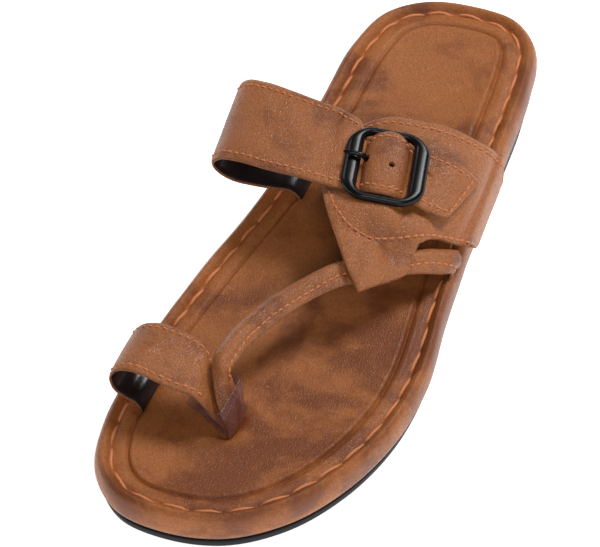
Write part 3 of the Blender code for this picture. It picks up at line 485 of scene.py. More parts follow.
def monotone(table, along):
    """Columns of a table at one share of the length, without overshoot between its rows."""
    rows = np.array(table)
    slopes = np.diff(rows[:, 1:], axis=0) / np.diff(rows[:, 0])[:, None]
    product = slopes[:-1] * slopes[1:]
    total = slopes[:-1] + slopes[1:]
    inner = np.where(product > 0, 2 * product / np.where(product > 0, total, 1.0), 0.0)
    tangents = np.vstack((slopes[:1], inner, slopes[-1:]))
    i = int(np.clip(np.searchsorted(rows[:, 0], along) - 1, 0, len(rows) - 2))
    h = rows[i + 1, 0] - rows[i, 0]
    return hermite((along - rows[i, 0]) / h, h, rows[i, 1:], rows[i + 1, 1:], tangents[i], tangents[i + 1])


def spline(rows, steps, closed=False):
    """Smooth curve through rows of numbers, spaced by the distance between them."""
    p = np.array(rows, dtype=float)
    if closed:
        p = np.vstack((p[-1:], p, p[:2]))
    h = np.maximum(np.linalg.norm(np.diff(p, axis=0), axis=1), 1e-9)[:, None]
    d = np.diff(p, axis=0) / h
    inner = (d[:-1] * h[1:] + d[1:] * h[:-1]) / (h[:-1] + h[1:])
    m = np.vstack((d[:1], inner, d[-1:]))
    first, last = (1, len(p) - 2) if closed else (0, len(p) - 1)
    out = [hermite(k / steps, h[i], p[i], p[i + 1], m[i], m[i + 1])
           for i in range(first, last) for k in range(steps)]
    return np.array(out if closed else [*out, p[last]])


PROFILE_SHARES = np.linspace(0.0, 1.0, 801)
PROFILE_VALUES = np.array([monotone(PROFILE, share) for share in PROFILE_SHARES])


def levels(along):
    """Ground, outsole top, rim crest and sock cup heights at shares of the length."""
    lift, outsole, pad, cup = (np.interp(along, PROFILE_SHARES, PROFILE_VALUES[:, i]) for i in range(4))
    ground = lift * TOE_SPRING
    top = ground + outsole * OUTSOLE_HEEL
    return ground, top, top + pad * PAD_HEEL, cup * PAD_HEEL


def rim_reach(along):
    """Width of the padded rim at shares of the length."""
    return np.interp(along, PROFILE_SHARES, PROFILE_VALUES[:, 4]) * RIM_REACH


def smoothed(ring, passes):
    """Closed ring of rows, each drawn towards its neighbours."""
    for _ in range(passes):
        ring = (np.roll(ring, 1, axis=0) + 2 * ring + np.roll(ring, -1, axis=0)) / 4
    return ring


class Last:
    """Outline of the sole, worked out from the driving dimensions."""

    def __init__(self):
        ring = [HEEL_TIP, *LATERAL, TOE_TIP, *reversed(MEDIAL)]
        loop = spline(np.array(ring) * np.array((LENGTH, BALL_WIDTH)), OUTLINE_STEPS, closed=True)
        loop[:, 0] = (loop[:, 0] - loop[:, 0].min()) * LENGTH / np.ptp(loop[:, 0])
        toe, heel = int(loop[:, 0].argmax()), int(loop[:, 0].argmin())
        loop = np.roll(loop, -heel, axis=0)
        toe = (toe - heel) % len(loop)
        self.outer = loop[:toe + 1]
        self.inner = np.vstack((loop[toe:], loop[:1]))[::-1]
        shares = [(1 - cos(pi * j / STATIONS)) / 2 for j in range(STATIONS + 1)]
        points = [self.edge(share, 1) for share in shares]
        points += [self.edge(share, -1) for share in reversed(shares[1:-1])]
        self.points = np.array(points)
        ahead = np.roll(self.points, -1, axis=0) - self.points
        behind = self.points - np.roll(self.points, 1, axis=0)
        a = np.linalg.norm(ahead, axis=1)[:, None]
        b = np.linalg.norm(behind, axis=1)[:, None]
        tangent = ahead / a * b + behind / b * a
        tangent /= np.linalg.norm(tangent, axis=1)[:, None]
        self.normals = smoothed(np.stack((tangent[:, 1], -tangent[:, 0]), axis=1), NORMAL_PASSES)
        self.normals /= np.linalg.norm(self.normals, axis=1)[:, None]
        self.reach = rim_reach(self.points[:, :1] / LENGTH)
        seam = self.ring(STITCH_INSET)
        steps = np.linalg.norm(np.roll(seam, -1, axis=0) - seam, axis=1)
        self.seam = np.concatenate(([0.0], np.cumsum(steps[:-1])))
        self.seam_length = float(steps.sum())
        self.arc = np.concatenate(([0.0], np.cumsum(a[:-1, 0])))
        self.girth = float(a.sum())

    def edge(self, share, side):
        """Outline point (distance from the heel, across) on the outer (+1) or inner (-1) side."""
        line = self.outer if side > 0 else self.inner
        s = share * LENGTH
        return (s, float(np.interp(s, line[:, 0], line[:, 1])))

    def ring(self, inset):
        """Outline moved inwards by a share of the rim's width."""
        ring = smoothed(self.points + self.normals * self.reach * inset, int(max(inset, 0.0) * RING_PASSES))
        toe = len(ring) // 2
        ring[:toe + 1, 0] = np.maximum.accumulate(ring[:toe + 1, 0])
        ring[toe:, 0] = np.maximum.accumulate(ring[:toe - 1:-1, 0])[::-1]
        return ring

    def at(self, arc, inset):
        """Distances from the heel and across, at distances round the outline and one inset."""
        stations = np.append(self.arc, self.girth)
        arc = np.mod(arc, self.girth)
        return [np.interp(arc, stations, np.append(column, column[0])) for column in self.ring(inset).T]


LAST = Last()
SIDE_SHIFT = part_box("footbed")[1][0] - float(LAST.points[:, 1].max())


def world(s, across, z):
    """Points of the row frame from distances along, across and up."""
    s, across, z = np.broadcast_arrays(s, across, z)
    return np.stack((across + SIDE_SHIFT, LENGTH / 2 - s, z), axis=-1)


def place(along, across, rise):
    """Point of a strap, from its shares."""
    return world(along * LENGTH, across * BALL_WIDTH, levels(along)[2] + rise * STRAP_RISE)


# Meshes

def make_mesh(name, points, faces, materials, indices=None, sharp=45.0):
    """Mesh object in the row frame, smooth but for its sharp corners."""
    mesh = bpy.data.meshes.new(name)
    mesh.from_pydata([tuple(p) for p in points], [], [tuple(int(i) for i in f) for f in faces])
    for material in materials:
        mesh.materials.append(material)
    if indices is not None:
        mesh.polygons.foreach_set("material_index", np.array(indices, dtype=np.int32))
    mesh.validate()
    bm = bmesh.new()
    bm.from_mesh(mesh)
    bmesh.ops.recalc_face_normals(bm, faces=bm.faces)
    bm.to_mesh(mesh)
    bm.free()
    mesh.shade_smooth()
    mesh.set_sharp_from_angle(angle=radians(sharp))
    obj = bpy.data.objects.new(name, mesh)
    bpy.context.scene.collection.objects.link(obj)
    return obj


def own(obj, node):
    """Hands a finished piece to the frame: it rides on the body and takes the node's place."""
    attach(obj, "root")
    if node:
        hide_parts(node)
    return obj


def grid_faces(rows, columns, start=0, closed=False):
    """Quads between neighbouring rows of a grid of points."""
    faces = []
    for i in range(rows - 1):
        for c in range(columns if closed else columns - 1):
            k = (c + 1) % columns
            a = start + i * columns
            faces.append((a + c, a + k, a + columns + k, a + columns + c))
    return faces


def end_faces(rows, columns, start=0):
    """Faces that close the two ends of a closed grid."""
    last = start + (rows - 1) * columns
    return [tuple(reversed(range(start, start + columns))), tuple(range(last, last + columns))]


def unit(v):
    return v / np.maximum(np.linalg.norm(v, axis=-1, keepdims=True), 1e-12)


def normals_of(grid):
    """Unit normals of a grid of points."""
    return unit(np.cross(np.gradient(grid, axis=0), np.gradient(grid, axis=1)))


def shares_across(width, count):
    """Shares across a strap, closer together at its two edges."""
    near = [0.0, 0.0004 / width, 0.0010 / width, 0.0019 / width]
    middle = list(np.linspace(near[-1], 1 - near[-1], count))[1:-1]
    return np.array(near + middle + [1 - n for n in reversed(near)])


def rows_of(table):
    return [(*place(*row[0:3]), *place(*row[3:6]), row[6] * STRAP_RISE) for row in table]


def span(rows, steps, v):
    """Grid through rows that each hold two edge points and a crown, in metres."""
    smooth = spline(rows, steps)
    a, b, crown = smooth[:, None, 0:3], smooth[:, None, 3:6], smooth[:, 6]
    grid = a + (b - a) * v[None, :, None]
    lift = crown[:, None] * 4 * v[None, :] * (1 - v[None, :])
    return grid + normals_of(grid) * lift[..., None]


def edge_distance(grid):
    """Distances of each grid point from its row's first edge and from its last edge."""
    steps = np.linalg.norm(np.diff(grid, axis=1), axis=2)
    first = np.concatenate((np.zeros((len(grid), 1)), np.cumsum(steps, axis=1)), axis=1)
    return first, first[:, -1:] - first


def wave_noise(points, scale, seed):
    """Smooth seeded bumps between -1 and 1, made of a few crossed waves."""
    rng = np.random.default_rng(seed)
    out = np.zeros(points.shape[:-1])
    for _ in range(7):
        direction = unit(rng.normal(size=3))
        out += np.sin(points @ direction * 2 * pi / (scale * rng.uniform(0.7, 1.5)) + rng.uniform(0, 2 * pi))
    return out / 7


def rippled(grid, height, scale, seed):
    return height * wave_noise(grid, scale, seed)


def bell(x, centre, width):
    """One at a centre, nearly nothing two widths away from it."""
    return np.exp(-((x - centre) / width) ** 2)


class Sheet:
    """Leather strap about a grid of points: rounded edges, a face, cut edges and a lining."""

    def __init__(self, grid, thickness, relief=None, edge_drop=0.45):
        self.grid = grid
        self.normals = normals_of(grid)
        self.first, self.final = edge_distance(grid)
        edge = np.minimum(self.first, self.final)
        self.half = thickness / 2
        drop = edge_drop * self.half * bell(edge, 0.0, EDGE_REACH)
        lift = self.half - drop + (relief if relief is not None else 0.0)
        self.top = grid + self.normals * lift[..., None]
        self.low = grid - self.normals * (self.half - drop)[..., None]

    def build(self, name, materials):
        rows, columns = self.grid.shape[:2]
        out_a = unit(self.grid[:, 0] - self.grid[:, 1]) * self.half * EDGE_OUT
        out_b = unit(self.grid[:, -1] - self.grid[:, -2]) * self.half * EDGE_OUT
        up = self.normals * self.half * EDGE_RISE
        a, b = self.grid[:, 0] + out_a, self.grid[:, -1] + out_b
        loops = np.concatenate((
            (a + up[:, 0])[:, None], self.top, (b + up[:, -1])[:, None],
            (b - up[:, -1])[:, None], self.low[:, ::-1], (a - up[:, 0])[:, None]), axis=1)
        count = loops.shape[1]
        faces = grid_faces(rows, count, closed=True)
        side = columns - 1
        indices = ([1] + [0] * side + [1] * 3 + [2] * side + [1] * (count - 2 * side - 4)) * (rows - 1)
        for start in (0, (rows - 1) * count):
            for i in range(count // 2 - 1):
                faces.append((start + i, start + i + 1, start + count - 2 - i, start + count - 1 - i))
                indices.append(1)
        return make_mesh(name, loops.reshape(-1, 3), faces, materials, indices)

    def tree(self):
        """Search tree of the face side."""
        rows, columns = self.top.shape[:2]
        return BVHTree.FromPolygons([tuple(p) for p in self.top.reshape(-1, 3)], grid_faces(rows, columns))

    def line(self, inset, side, skip):
        """Points and normals along the face at a distance from one long edge, but for rows to skip."""
        distance = self.first if side == 0 else self.final[:, ::-1]
        sources = [a if side == 0 else a[:, ::-1] for a in (self.top, self.normals)]
        points, directions = (
            np.array([[np.interp(inset, distance[i], a[i, :, k]) for k in range(3)]
                      for i in range(skip[0], len(a) - skip[1])]) for a in sources)
        return points, unit(directions)


def stitches(name, lines, length, pitch, thread, seed, slant=0.0, sink=0.35, bow=0.75):
    """Row of sewn stitches along each line of points and normals, as one mesh."""
    rng = np.random.default_rng(seed)
    t = np.linspace(0.0, 1.0, STITCH_STEPS)
    angles = 2 * pi * np.arange(STITCH_SIDES)[:, None] / STITCH_SIDES
    wide, high = THREAD_SHAPE
    lift = thread * (bow * np.sin(pi * t) - sink)
    radius = thread / 2 * (THREAD_TIP + (1 - THREAD_TIP) * np.sin(pi * t) ** 0.5)
    points = []
    faces = []
    for path, directions in lines:
        arc = np.concatenate(([0.0], np.cumsum(np.linalg.norm(np.diff(path, axis=0), axis=1))))
        count = max(int(arc[-1] / pitch), 1)
        for n in range(count):
            middle = (n + 0.5) * arc[-1] / count + rng.uniform(-STITCH_OFF, STITCH_OFF) * pitch
            reach = length * rng.uniform(*STITCH_LENGTHS)
            where = middle + (t - 0.5) * reach
            centre, normal = (np.stack([np.interp(where, arc, rows[:, k]) for k in range(3)], axis=1)
                              for rows in (path, directions))
            normal = unit(normal)
            side = unit(np.cross(unit(np.gradient(centre, axis=0)), normal))
            lean = slant * (t - 0.5) * reach + rng.uniform(-STITCH_LEAN, STITCH_LEAN) * length
            centre = centre + side * lean[:, None] + normal * lift[:, None]
            base = len(points)
            for k in range(STITCH_STEPS):
                ring = side[k] * np.cos(angles) * wide + normal[k] * np.sin(angles) * high
                points.extend(centre[k] + radius[k] * ring)
            faces += grid_faces(STITCH_STEPS, STITCH_SIDES, base, closed=True)
            faces += end_faces(STITCH_STEPS, STITCH_SIDES, base)
    return make_mesh(name, points, faces, [material_of("waxed_thread")], sharp=80.0)


def below(tree, x, y):
    """Point and normal where a line straight down meets a surface."""
    return tree.ray_cast(Vector((x, y, ABOVE_ALL)), Vector((0, 0, -1)))[:2]


def sew(name, lines, seed):
    """Fine stitches along lines of a strap."""
    s = sizes()
    own(stitches(name, lines, s.strap_stitch, s.strap_pitch, s.thread, seed), None)


# Materials

def new_material(name, specular):
    """Material with its node tree, its shader and the place in its object."""
    material = bpy.data.materials.new(name)
    material.use_nodes = True
    tree = material.node_tree
    shader = tree.nodes["Principled BSDF"]
    shader.inputs["Specular IOR Level"].default_value = specular
    return material, tree, shader, tree.nodes.new("ShaderNodeTexCoord").outputs["Object"]


def node(tree, kind, *links, **values):
    """Adds a node, sets its fields or socket defaults, and links (socket, source) pairs."""
    made = tree.nodes.new(kind)
    for key, value in values.items():
        if hasattr(made, key):
            setattr(made, key, value)
        else:
            made.inputs[key.replace("_", " ").title()].default_value = value
    for socket, source in links:
        tree.links.new(source, made.inputs[socket])
    return made


def maths(tree, operation, a, b):
    """Maths node on two sources or numbers."""
    made = tree.nodes.new("ShaderNodeMath")
    made.operation = operation
    for i, value in enumerate((a, b)):
        if isinstance(value, (int, float)):
            made.inputs[i].default_value = value
        else:
            tree.links.new(value, made.inputs[i])
    return made.outputs[0]


def mixed(tree, factor, a, b):
    """Colour between two sources."""
    made = tree.nodes.new("ShaderNodeMix")
    made.data_type = "RGBA"
    tree.links.new(factor, made.inputs[0])
    tree.links.new(a, made.inputs[6])
    tree.links.new(b, made.inputs[7])
    return made.outputs[2]


def spread(tree, source, low, high, out_low=0.0, out_high=1.0):
    """Stretches the part of a value between two limits."""
    made = tree.nodes.new("ShaderNodeMapRange")
    made.interpolation_type = "SMOOTHSTEP"
    tree.links.new(source, made.inputs[0])
    for i, value in enumerate((low, high, out_low, out_high)):
        made.inputs[i + 1].default_value = value
    return made.outputs[0]


def bumped(tree, shader, height, depth):
    """Links a height to the shader's normal."""
    bump = node(tree, "ShaderNodeBump", ("Height", height), Strength=0.5, Distance=depth)
    tree.links.new(bump.outputs["Normal"], shader.inputs["Normal"])


def oiled_leather_group():
    """Mottled colour, roughness and grain height of pull-up leather."""
    if "oiled_leather" in bpy.data.node_groups:
        return bpy.data.node_groups["oiled_leather"]
    group = bpy.data.node_groups.new("oiled_leather", "ShaderNodeTree")
    for flow, sockets in GROUP_SOCKETS.items():
        for label, kind in sockets:
            group.interface.new_socket(name=label, in_out=flow, socket_type="NodeSocket" + kind)
    source = group.nodes.new("NodeGroupInput").outputs
    sink = group.nodes.new("NodeGroupOutput").inputs
    at = ("Vector", source["Place"])
    clouds = node(group, "ShaderNodeTexNoise", at, ("Scale", source["Cloud Scale"]), Detail=5.0,
                  Roughness=0.62, Distortion=0.4)
    specks = node(group, "ShaderNodeTexNoise", at, Scale=1050.0, Detail=3.0, Roughness=0.7)
    fine = node(group, "ShaderNodeTexNoise", at, Scale=2200.0, Detail=2.0, Roughness=0.6)
    cells = node(group, "ShaderNodeTexVoronoi", at, ("Scale", source["Grain Scale"]),
                 feature="DISTANCE_TO_EDGE")
    dark = spread(group, clouds.outputs["Fac"], 0.46, 0.64)
    light = spread(group, clouds.outputs["Fac"], 0.42, 0.24)
    speck = spread(group, specks.outputs["Fac"], 0.40, 0.66)
    base = mixed(group, dark, source["Leather"], source["Cloud"])
    base = mixed(group, maths(group, "MULTIPLY", light, 0.65), base, source["Rub"])
    flecked = mixed(group, maths(group, "MULTIPLY", speck, 0.42), base, source["Cloud"])
    group.links.new(flecked, sink["Colour"])
    rough = maths(group, "ADD", maths(group, "MULTIPLY", speck, 0.10), maths(group, "MULTIPLY", dark, -0.05))
    group.links.new(maths(group, "ADD", rough, 0.40), sink["Roughness"])
    creases = maths(group, "MULTIPLY", spread(group, cells.outputs["Distance"], 0.0, 0.22), 0.55)
    grains = maths(group, "MULTIPLY", fine.outputs["Fac"], 0.45)
    group.links.new(maths(group, "ADD", creases, grains), sink["Height"])
    return group


def leather_material(name, grain, depth, clouds, specular):
    """Leather in the sandal's three leather colours."""
    material, tree, shader, at = new_material(name, specular)
    made = tree.nodes.new("ShaderNodeGroup")
    made.node_tree = oiled_leather_group()
    tree.links.new(at, made.inputs["Place"])
    for label in ("Leather", "Cloud", "Rub"):
        made.inputs[label].default_value = (*getattr(colours(), label.lower()), 1.0)
    made.inputs["Cloud Scale"].default_value = clouds
    made.inputs["Grain Scale"].default_value = grain
    tree.links.new(made.outputs["Colour"], shader.inputs["Base Color"])
    tree.links.new(made.outputs["Roughness"], shader.inputs["Roughness"])
    bumped(tree, shader, made.outputs["Height"], depth)
    return material


def plain_material(name, colour, roughness, scale, depth, specular, fleck):
    """Material of one colour with a fine noise in its surface and a little in its colour."""
    material, tree, shader, at = new_material(name, specular)
    noise = node(tree, "ShaderNodeTexNoise", ("Vector", at), Scale=scale, Detail=4.0, Roughness=0.65)
    ramp = node(tree, "ShaderNodeValToRGB", ("Fac", noise.outputs["Fac"]))
    for element, share, place_at in zip(ramp.color_ramp.elements, (1 - fleck, 1 + fleck), (0.30, 0.70)):
        element.color = (*[min(c * share, 1.0) for c in colour], 1.0)
        element.position = place_at
    tree.links.new(ramp.outputs["Color"], shader.inputs["Base Color"])
    shader.inputs["Roughness"].default_value = roughness
    bumped(tree, shader, noise.outputs["Fac"], depth)
    return material


def material_of(name):
    """Material of that name, made when first asked for."""
    if name in bpy.data.materials:
        return bpy.data.materials[name]
    if name in LEATHERS:
        return leather_material(name, *LEATHERS[name])
    colour, *looks = PLAINS[name]
    return plain_material(name, getattr(colours(), colour), *looks)


# Footbed and outsole

def sole_grid(section, layer, gap):
    """Rings round the outline: distance along, across, height and inset of each point."""
    rings = []
    for inset, share in section:
        points = LAST.ring(inset)
        heights = levels(points[:, 0] / LENGTH)
        low = heights[layer] + gap
        height = low + share * (heights[layer + 1] - low)
        rings.append(np.column_stack((points, height, np.full(len(points), inset))))
    return np.array(rings)


def filling(ring, columns):
    """Rows across the sole between the two sides of a ring: points and their shares across."""
    half = len(ring) // 2
    left, right = ring[1:half], ring[:half:-1]
    t = np.linspace(0.0, 1.0, columns + 1)[None, 1:-1]
    return left[:, None] + (right - left)[:, None] * t[..., None], np.broadcast_to(t, (half - 1, columns - 1))


def filling_faces(start_ring, count, start_inside, columns):
    """Faces of the filling rows, joined to their ring."""
    half = count // 2

    def index(j, c):
        if j == 0 or c == 0:
            return start_ring + j
        if j == half or c == columns:
            return start_ring + (count - j) % count
        return start_inside + (j - 1) * (columns - 1) + c - 1

    faces = []
    for j in range(half):
        for c in range(columns):
            corners = [index(j, c), index(j, c + 1), index(j + 1, c + 1), index(j + 1, c)]
            faces.append(tuple(dict.fromkeys(corners)))
    return [face for face in faces if len(face) > 2]


def sole_mesh(name, section, layer, gap, columns, below, above, relief, material):
    """Closed sole piece on one layer: rings of its section, filled rows below and above."""
    rings = sole_grid(spline(section, SECTION_STEPS), layer, gap)
    count = rings.shape[1]
    parts = [rings.reshape(-1, 4)]
    faces = grid_faces(len(rings), count, closed=True)
    start = len(parts[0])
    for ring_index, lift in ((0, below), (len(rings) - 1, above)):
        inside, t = filling(rings[ring_index], columns)
        if lift:
            inside[..., 2] += lift(inside, t)
        faces += filling_faces(ring_index * count, count, start, columns)
        parts.append(inside.reshape(-1, 4))
        start += len(parts[-1])
    points = np.concatenate(parts)
    if relief:
        points[:, 2] += relief(points, np.tile(LAST.seam, len(rings)))
    return make_mesh(name, world(*points[:, :3].T), faces, [material], sharp=60.0)


def entries():
    """Where straps go down into the footbed: two ends of each slit."""
    lines = []
    for table, row in ((BUCKLE_STRAP, 1), (RING, 1), (THONG, 1), (THONG, -2), (RING, -2)):
        a, b = place(*table[row][0:3]), place(*table[row][3:6])
        lines.append((a[:2], b[:2]))
    return lines


def rim_stitch_count():
    return round(LAST.seam_length / sizes().rim_pitch)


def footbed_relief(points, arcs):
    """Sewn hollows, puckers and the dips round the slits; arcs belong to the rings' points."""
    flat = world(*points[:, :3].T)
    base = levels(points[:, 0] / LENGTH)[1]
    lift = rippled(flat, *SOCK_WAVE) * (points[:, 3] > SOCK_INSET)
    rim = slice(0, len(arcs))
    inset = points[rim, 3]
    upper = points[rim, 2] > base[rim] + RUCK_LOW * PAD_HEEL
    phase = 2 * pi * rim_stitch_count() * arcs / LAST.seam_length
    lift[rim] -= RIM_HOLLOW * bell(inset, STITCH_INSET, HOLLOW_WIDTH) * np.cos(phase) * upper
    ruck = np.sin(phase * RUCKS + rippled(flat[rim], *RUCK_WANDER))
    ruck *= RUCK_EVEN + rippled(flat[rim], *RUCK_CHANGE)
    window = sum(share * bell(inset, middle, width) for middle, width, share in RUCK_BANDS)
    lift[rim] += RUCK * ruck * window * upper
    for a, b in entries():
        run = b - a
        t = np.clip(((flat[:, :2] - a) @ run) / (run @ run), 0.0, 1.0)
        distance = np.linalg.norm(flat[:, :2] - a - t[:, None] * run, axis=1)
        lift -= SLIT_DIP * bell(distance, 0.0, SLIT_REACH) * (points[:, 2] > base + SLIT_LOW)
    return lift


def sock_lift(points, t):
    """Cup of the sock, which starts softly at the heel."""
    room = np.clip((points[..., 0] - points[..., 0].min()) / SOCK_FADE, 0.0, 1.0)
    return levels(points[..., 0] / LENGTH)[3] * 4 * t * (1 - t) * room ** 2 * (3 - 2 * room)


def build_footbed():
    """Leather footbed with its rolled rim, stitch valley, groove and raised sock."""
    obj = sole_mesh("footbed_leather", FOOTBED_SECTION, 1, CLEARANCE, FOOTBED_COLUMNS, None, sock_lift,
                    footbed_relief, material_of("oiled_footbed"))
    own(obj, "footbed")
    return obj


def build_footbed_stitches(footbed):
    """Thick stitches sunk round the rim."""
    s = sizes()
    mesh = footbed.data
    tree = BVHTree.FromPolygons([v.co for v in mesh.vertices], [p.vertices for p in mesh.polygons])
    arcs = np.linspace(0.0, LAST.girth, SEAM_POINTS)
    distance, across = LAST.at(arcs, STITCH_INSET)
    points, normals = [], []
    for a, b in zip(distance, across):
        x, y, _ = world(a, b, 0.0)
        hit, normal = below(tree, x, y)
        points.append(hit)
        normals.append(normal)
    line = (np.array(points), unit(np.array(normals) + np.array((0, 0, 1.0))))
    pitch = LAST.seam_length / rim_stitch_count()
    obj = stitches("footbed_stitches", [line], s.rim_stitch, pitch, s.thread * RIM_THREAD, 4,
                   slant=0.07, sink=0.08, bow=0.42)
    return own(obj, None)


def zone(along, start, end, ramp=0.02):
    """One between two places along the sole, falling to nothing beyond them."""
    return np.clip((along - start) / ramp, 0, 1) * np.clip((end - along) / 0.02, 0, 1)


def grooves(phase, start=0.35, ramp=0.4):
    """One in a groove at each whole number of the phase, nothing between them."""
    return np.clip((np.cos(2 * pi * phase) - start) / ramp, 0, 1)


def tread(s, across):
    """Depth share of the outsole's pattern: waved grooves in front, lines at the waist, ribs at the heel."""
    along = s / LENGTH
    wave = WAVE_HEIGHT * np.sin(across / WAVE_PITCH + 0.6) * (1.35 - along)
    waved = along + wave + WAVE_LEAN * across / BALL_WIDTH
    phase = FRONT_GROOVES * np.sign(waved - 0.5) * np.abs((waved - 0.49) / 0.46) ** FRONT_CROWDING
    front = grooves(phase) * zone(along, *FRONT_ZONE)
    bow = RIB_BOW * np.sin(pi * (along - 0.06) / 0.22)
    ribs = grooves((across + bow) / RIB_PITCH) * zone(along, *HEEL_ZONE)
    waist = (across + 0.02 * np.sin(6 * along)) / WAIST_PITCH
    lines = WAIST_DEPTH * grooves(waist, 0.8, 0.2) * zone(along, *WAIST_ZONE)
    return np.maximum(np.maximum(front, ribs), lines)


def tread_lift(points, t):
    """The pattern's depth, which fades out towards the outsole's sides."""
    room = np.clip((np.minimum(t, 1 - t) - 0.085) / 0.06, 0, 1)
    return sizes().groove * tread(points[..., 0], points[..., 1]) * room


def build_outsole():
    """Black rubber outsole with toe spring, waved grooves and heel ribs."""
    obj = sole_mesh("outsole_rubber", OUTSOLE_SECTION, 0, 0.0, OUTSOLE_COLUMNS, tread_lift, None, None,
                    material_of("black_rubber"))
    return own(obj, "outsole")


# Straps

def panel_grid(steps, v):
    """Panel's middle surface: up the rim's outer face, over the foot and down to its folded tip."""
    hug = []
    for inset, height, heel, toe in spline(HUG, steps):
        share = heel + (toe - heel) * v
        s, across = np.array([LAST.edge(x, 1) for x in share]).T
        _, base, crest, _ = levels(share)
        hug.append(world(s, across - inset * RIM_REACH, base + height * (crest - base)))
    front = span(rows_of(PANEL_FRONT), steps, v)
    inner = span(rows_of(PANEL_INNER), steps, v)
    return np.concatenate((np.array(hug), front, inner[1:]))


class Seat:
    """The panel's upper face, and the buckle's frame on it."""

    def __init__(self):
        plain = Sheet(panel_grid(2, np.linspace(0.0, 1.0, 10)), sizes().panel_leather, edge_drop=0.0)
        self.tree = plain.tree()
        self.run = Vector((cos(radians(BUCKLE_TURN)), sin(radians(BUCKLE_TURN)), 0.0))
        self.side = Vector((sin(radians(BUCKLE_TURN)), -cos(radians(BUCKLE_TURN)), 0.0))
        self.middle = Vector(world(BUCKLE_ALONG * LENGTH, BUCKLE_ACROSS * BALL_WIDTH, 0.0))
        corners = [self.on(u, v)[0] for u, v in ((-1, -1), (1, -1), (1, 1), (-1, 1))]
        normal = (corners[1] - corners[3]).cross(corners[2] - corners[0]).normalized()
        normal = -normal if normal.z < 0 else normal
        u_axis = (self.run - normal * self.run.dot(normal)).normalized()
        v_axis = normal.cross(u_axis)
        v_axis = -v_axis if v_axis.dot(self.side) < 0 else v_axis
        centre = self.on(0, 0)[0]
        footprint = [self.on(u / 4, v / 4)[0] for u in range(-4, 5) for v in range(-4, 5)]
        highest = max((p - centre).dot(normal) for p in footprint)
        self.frame = Matrix((u_axis, v_axis, normal)).transposed().to_4x4()
        self.frame.translation = centre + normal * highest

    def on(self, u, v):
        """Point and normal of the panel under a place given in half widths and half heights."""
        p = self.middle + self.run * (u * HALF_WIDTH) + self.side * (v * HALF_HEIGHT)
        hit, normal = below(self.tree, p.x, p.y)
        if hit is None:
            raise ValueError("the buckle misses the panel")
        return hit, -normal if normal.z < 0 else normal

    def local(self, u, v, w):
        return self.frame @ Vector((u, v, w))


def swell(grid, centre, reach, degrees, height):
    """Soft bump of a surface about a place in plan."""
    d = grid[..., :2] - np.array(centre)
    turn = radians(degrees)
    along = d[..., 0] * cos(turn) + d[..., 1] * sin(turn)
    across = -d[..., 0] * sin(turn) + d[..., 1] * cos(turn)
    return height * np.exp(-(along / reach[0]) ** 2 - (across / reach[1]) ** 2)


def panel_sheet():
    """The panel with its swells and the furrow of its upper seam."""
    mesh, _, ripple = STRAPS["panel"]
    grid = panel_grid(STRAP_STEPS, shares_across(*mesh))
    relief = sum(swell(grid, *bump) for bump in PANEL_SWELLS) + rippled(grid, *ripple)
    relief -= PANEL_FURROW * bell(edge_distance(grid)[0], PANEL_SEAM, FURROW_WIDTHS["panel"])
    return Sheet(grid, sizes().panel_leather, relief)


def pixel_ray(px, py):
    """Camera's place and its line through a pixel of the picture."""
    matrix = camera_matrix()
    direction = matrix.to_3x3() @ Vector(
        ((px - PICTURE[0] / 2) / FOCAL_PIXELS, (PICTURE[1] / 2 - py) / FOCAL_PIXELS, -1.0))
    return matrix.translation, direction.normalized()


def traced(tree, pixels, steps=10):
    """Line on a surface under a smooth curve through pixels."""
    points, normals = [], []
    for px, py in spline(pixels, steps):
        start, direction = pixel_ray(px, py)
        hit, normal, _, _ = tree.ray_cast(start, direction)
        if hit is not None:
            points.append(hit)
            normals.append(-normal if normal.dot(direction) > 0 else normal)
    if len(points) < 2:
        raise ValueError("a sewn line misses its piece")
    return np.array(points), unit(np.array(normals))


def furrow(grid, inset):
    """Depth of the furrows along both edges of a strap."""
    first, final = edge_distance(grid)
    return FURROW * bell(np.minimum(first, final), inset, FURROW_WIDTHS["strap"])


def leather_set():
    return [material_of(name) for name in LEATHER_SET]


def build_panel():
    """Fanned panel over the outer side with its two sewn lines."""
    sheet = panel_sheet()
    own(sheet.build("instep_panel", leather_set()), "upper")
    upper = sheet.line(PANEL_SEAM, 0, STRAPS["panel"][1])
    sew("panel_stitches", [upper, traced(sheet.tree(), PANEL_LOWER_LINE)], 11)


def build_thong():
    """Slim band from the outer rim to the toe post, padded on its inner half."""
    mesh, skip, ripple = STRAPS["thong"]
    grid = span(rows_of(THONG), STRAP_STEPS, shares_across(*mesh))
    first, _ = edge_distance(grid)
    relief = THONG_PAD * bell(first, THONG_PAD_INSET, THONG_PAD_REACH) + rippled(grid, *ripple)
    relief -= THONG_FURROW * bell(first, THONG_SEAM, FURROW_WIDTHS["thong"])
    sheet = Sheet(grid, sizes().ring_leather, relief)
    own(sheet.build("toe_band", leather_set()), "upper")
    sew("toe_band_stitches", [sheet.line(THONG_SEAM, 0, skip)], 12)


def build_ring():
    """Ring over the big toe, sewn along both edges."""
    mesh, skip, ripple = STRAPS["ring"]
    grid = span(rows_of(RING), STRAP_STEPS, shares_across(*mesh))[:, ::-1]
    relief = rippled(grid, *ripple) - furrow(grid, RING_SEAM)
    sheet = Sheet(grid, sizes().ring_leather, relief)
    own(sheet.build("toe_ring", leather_set()), "upper")
    sew("toe_ring_stitches", [sheet.line(RING_SEAM, side, skip) for side in (0, 1)], 13)


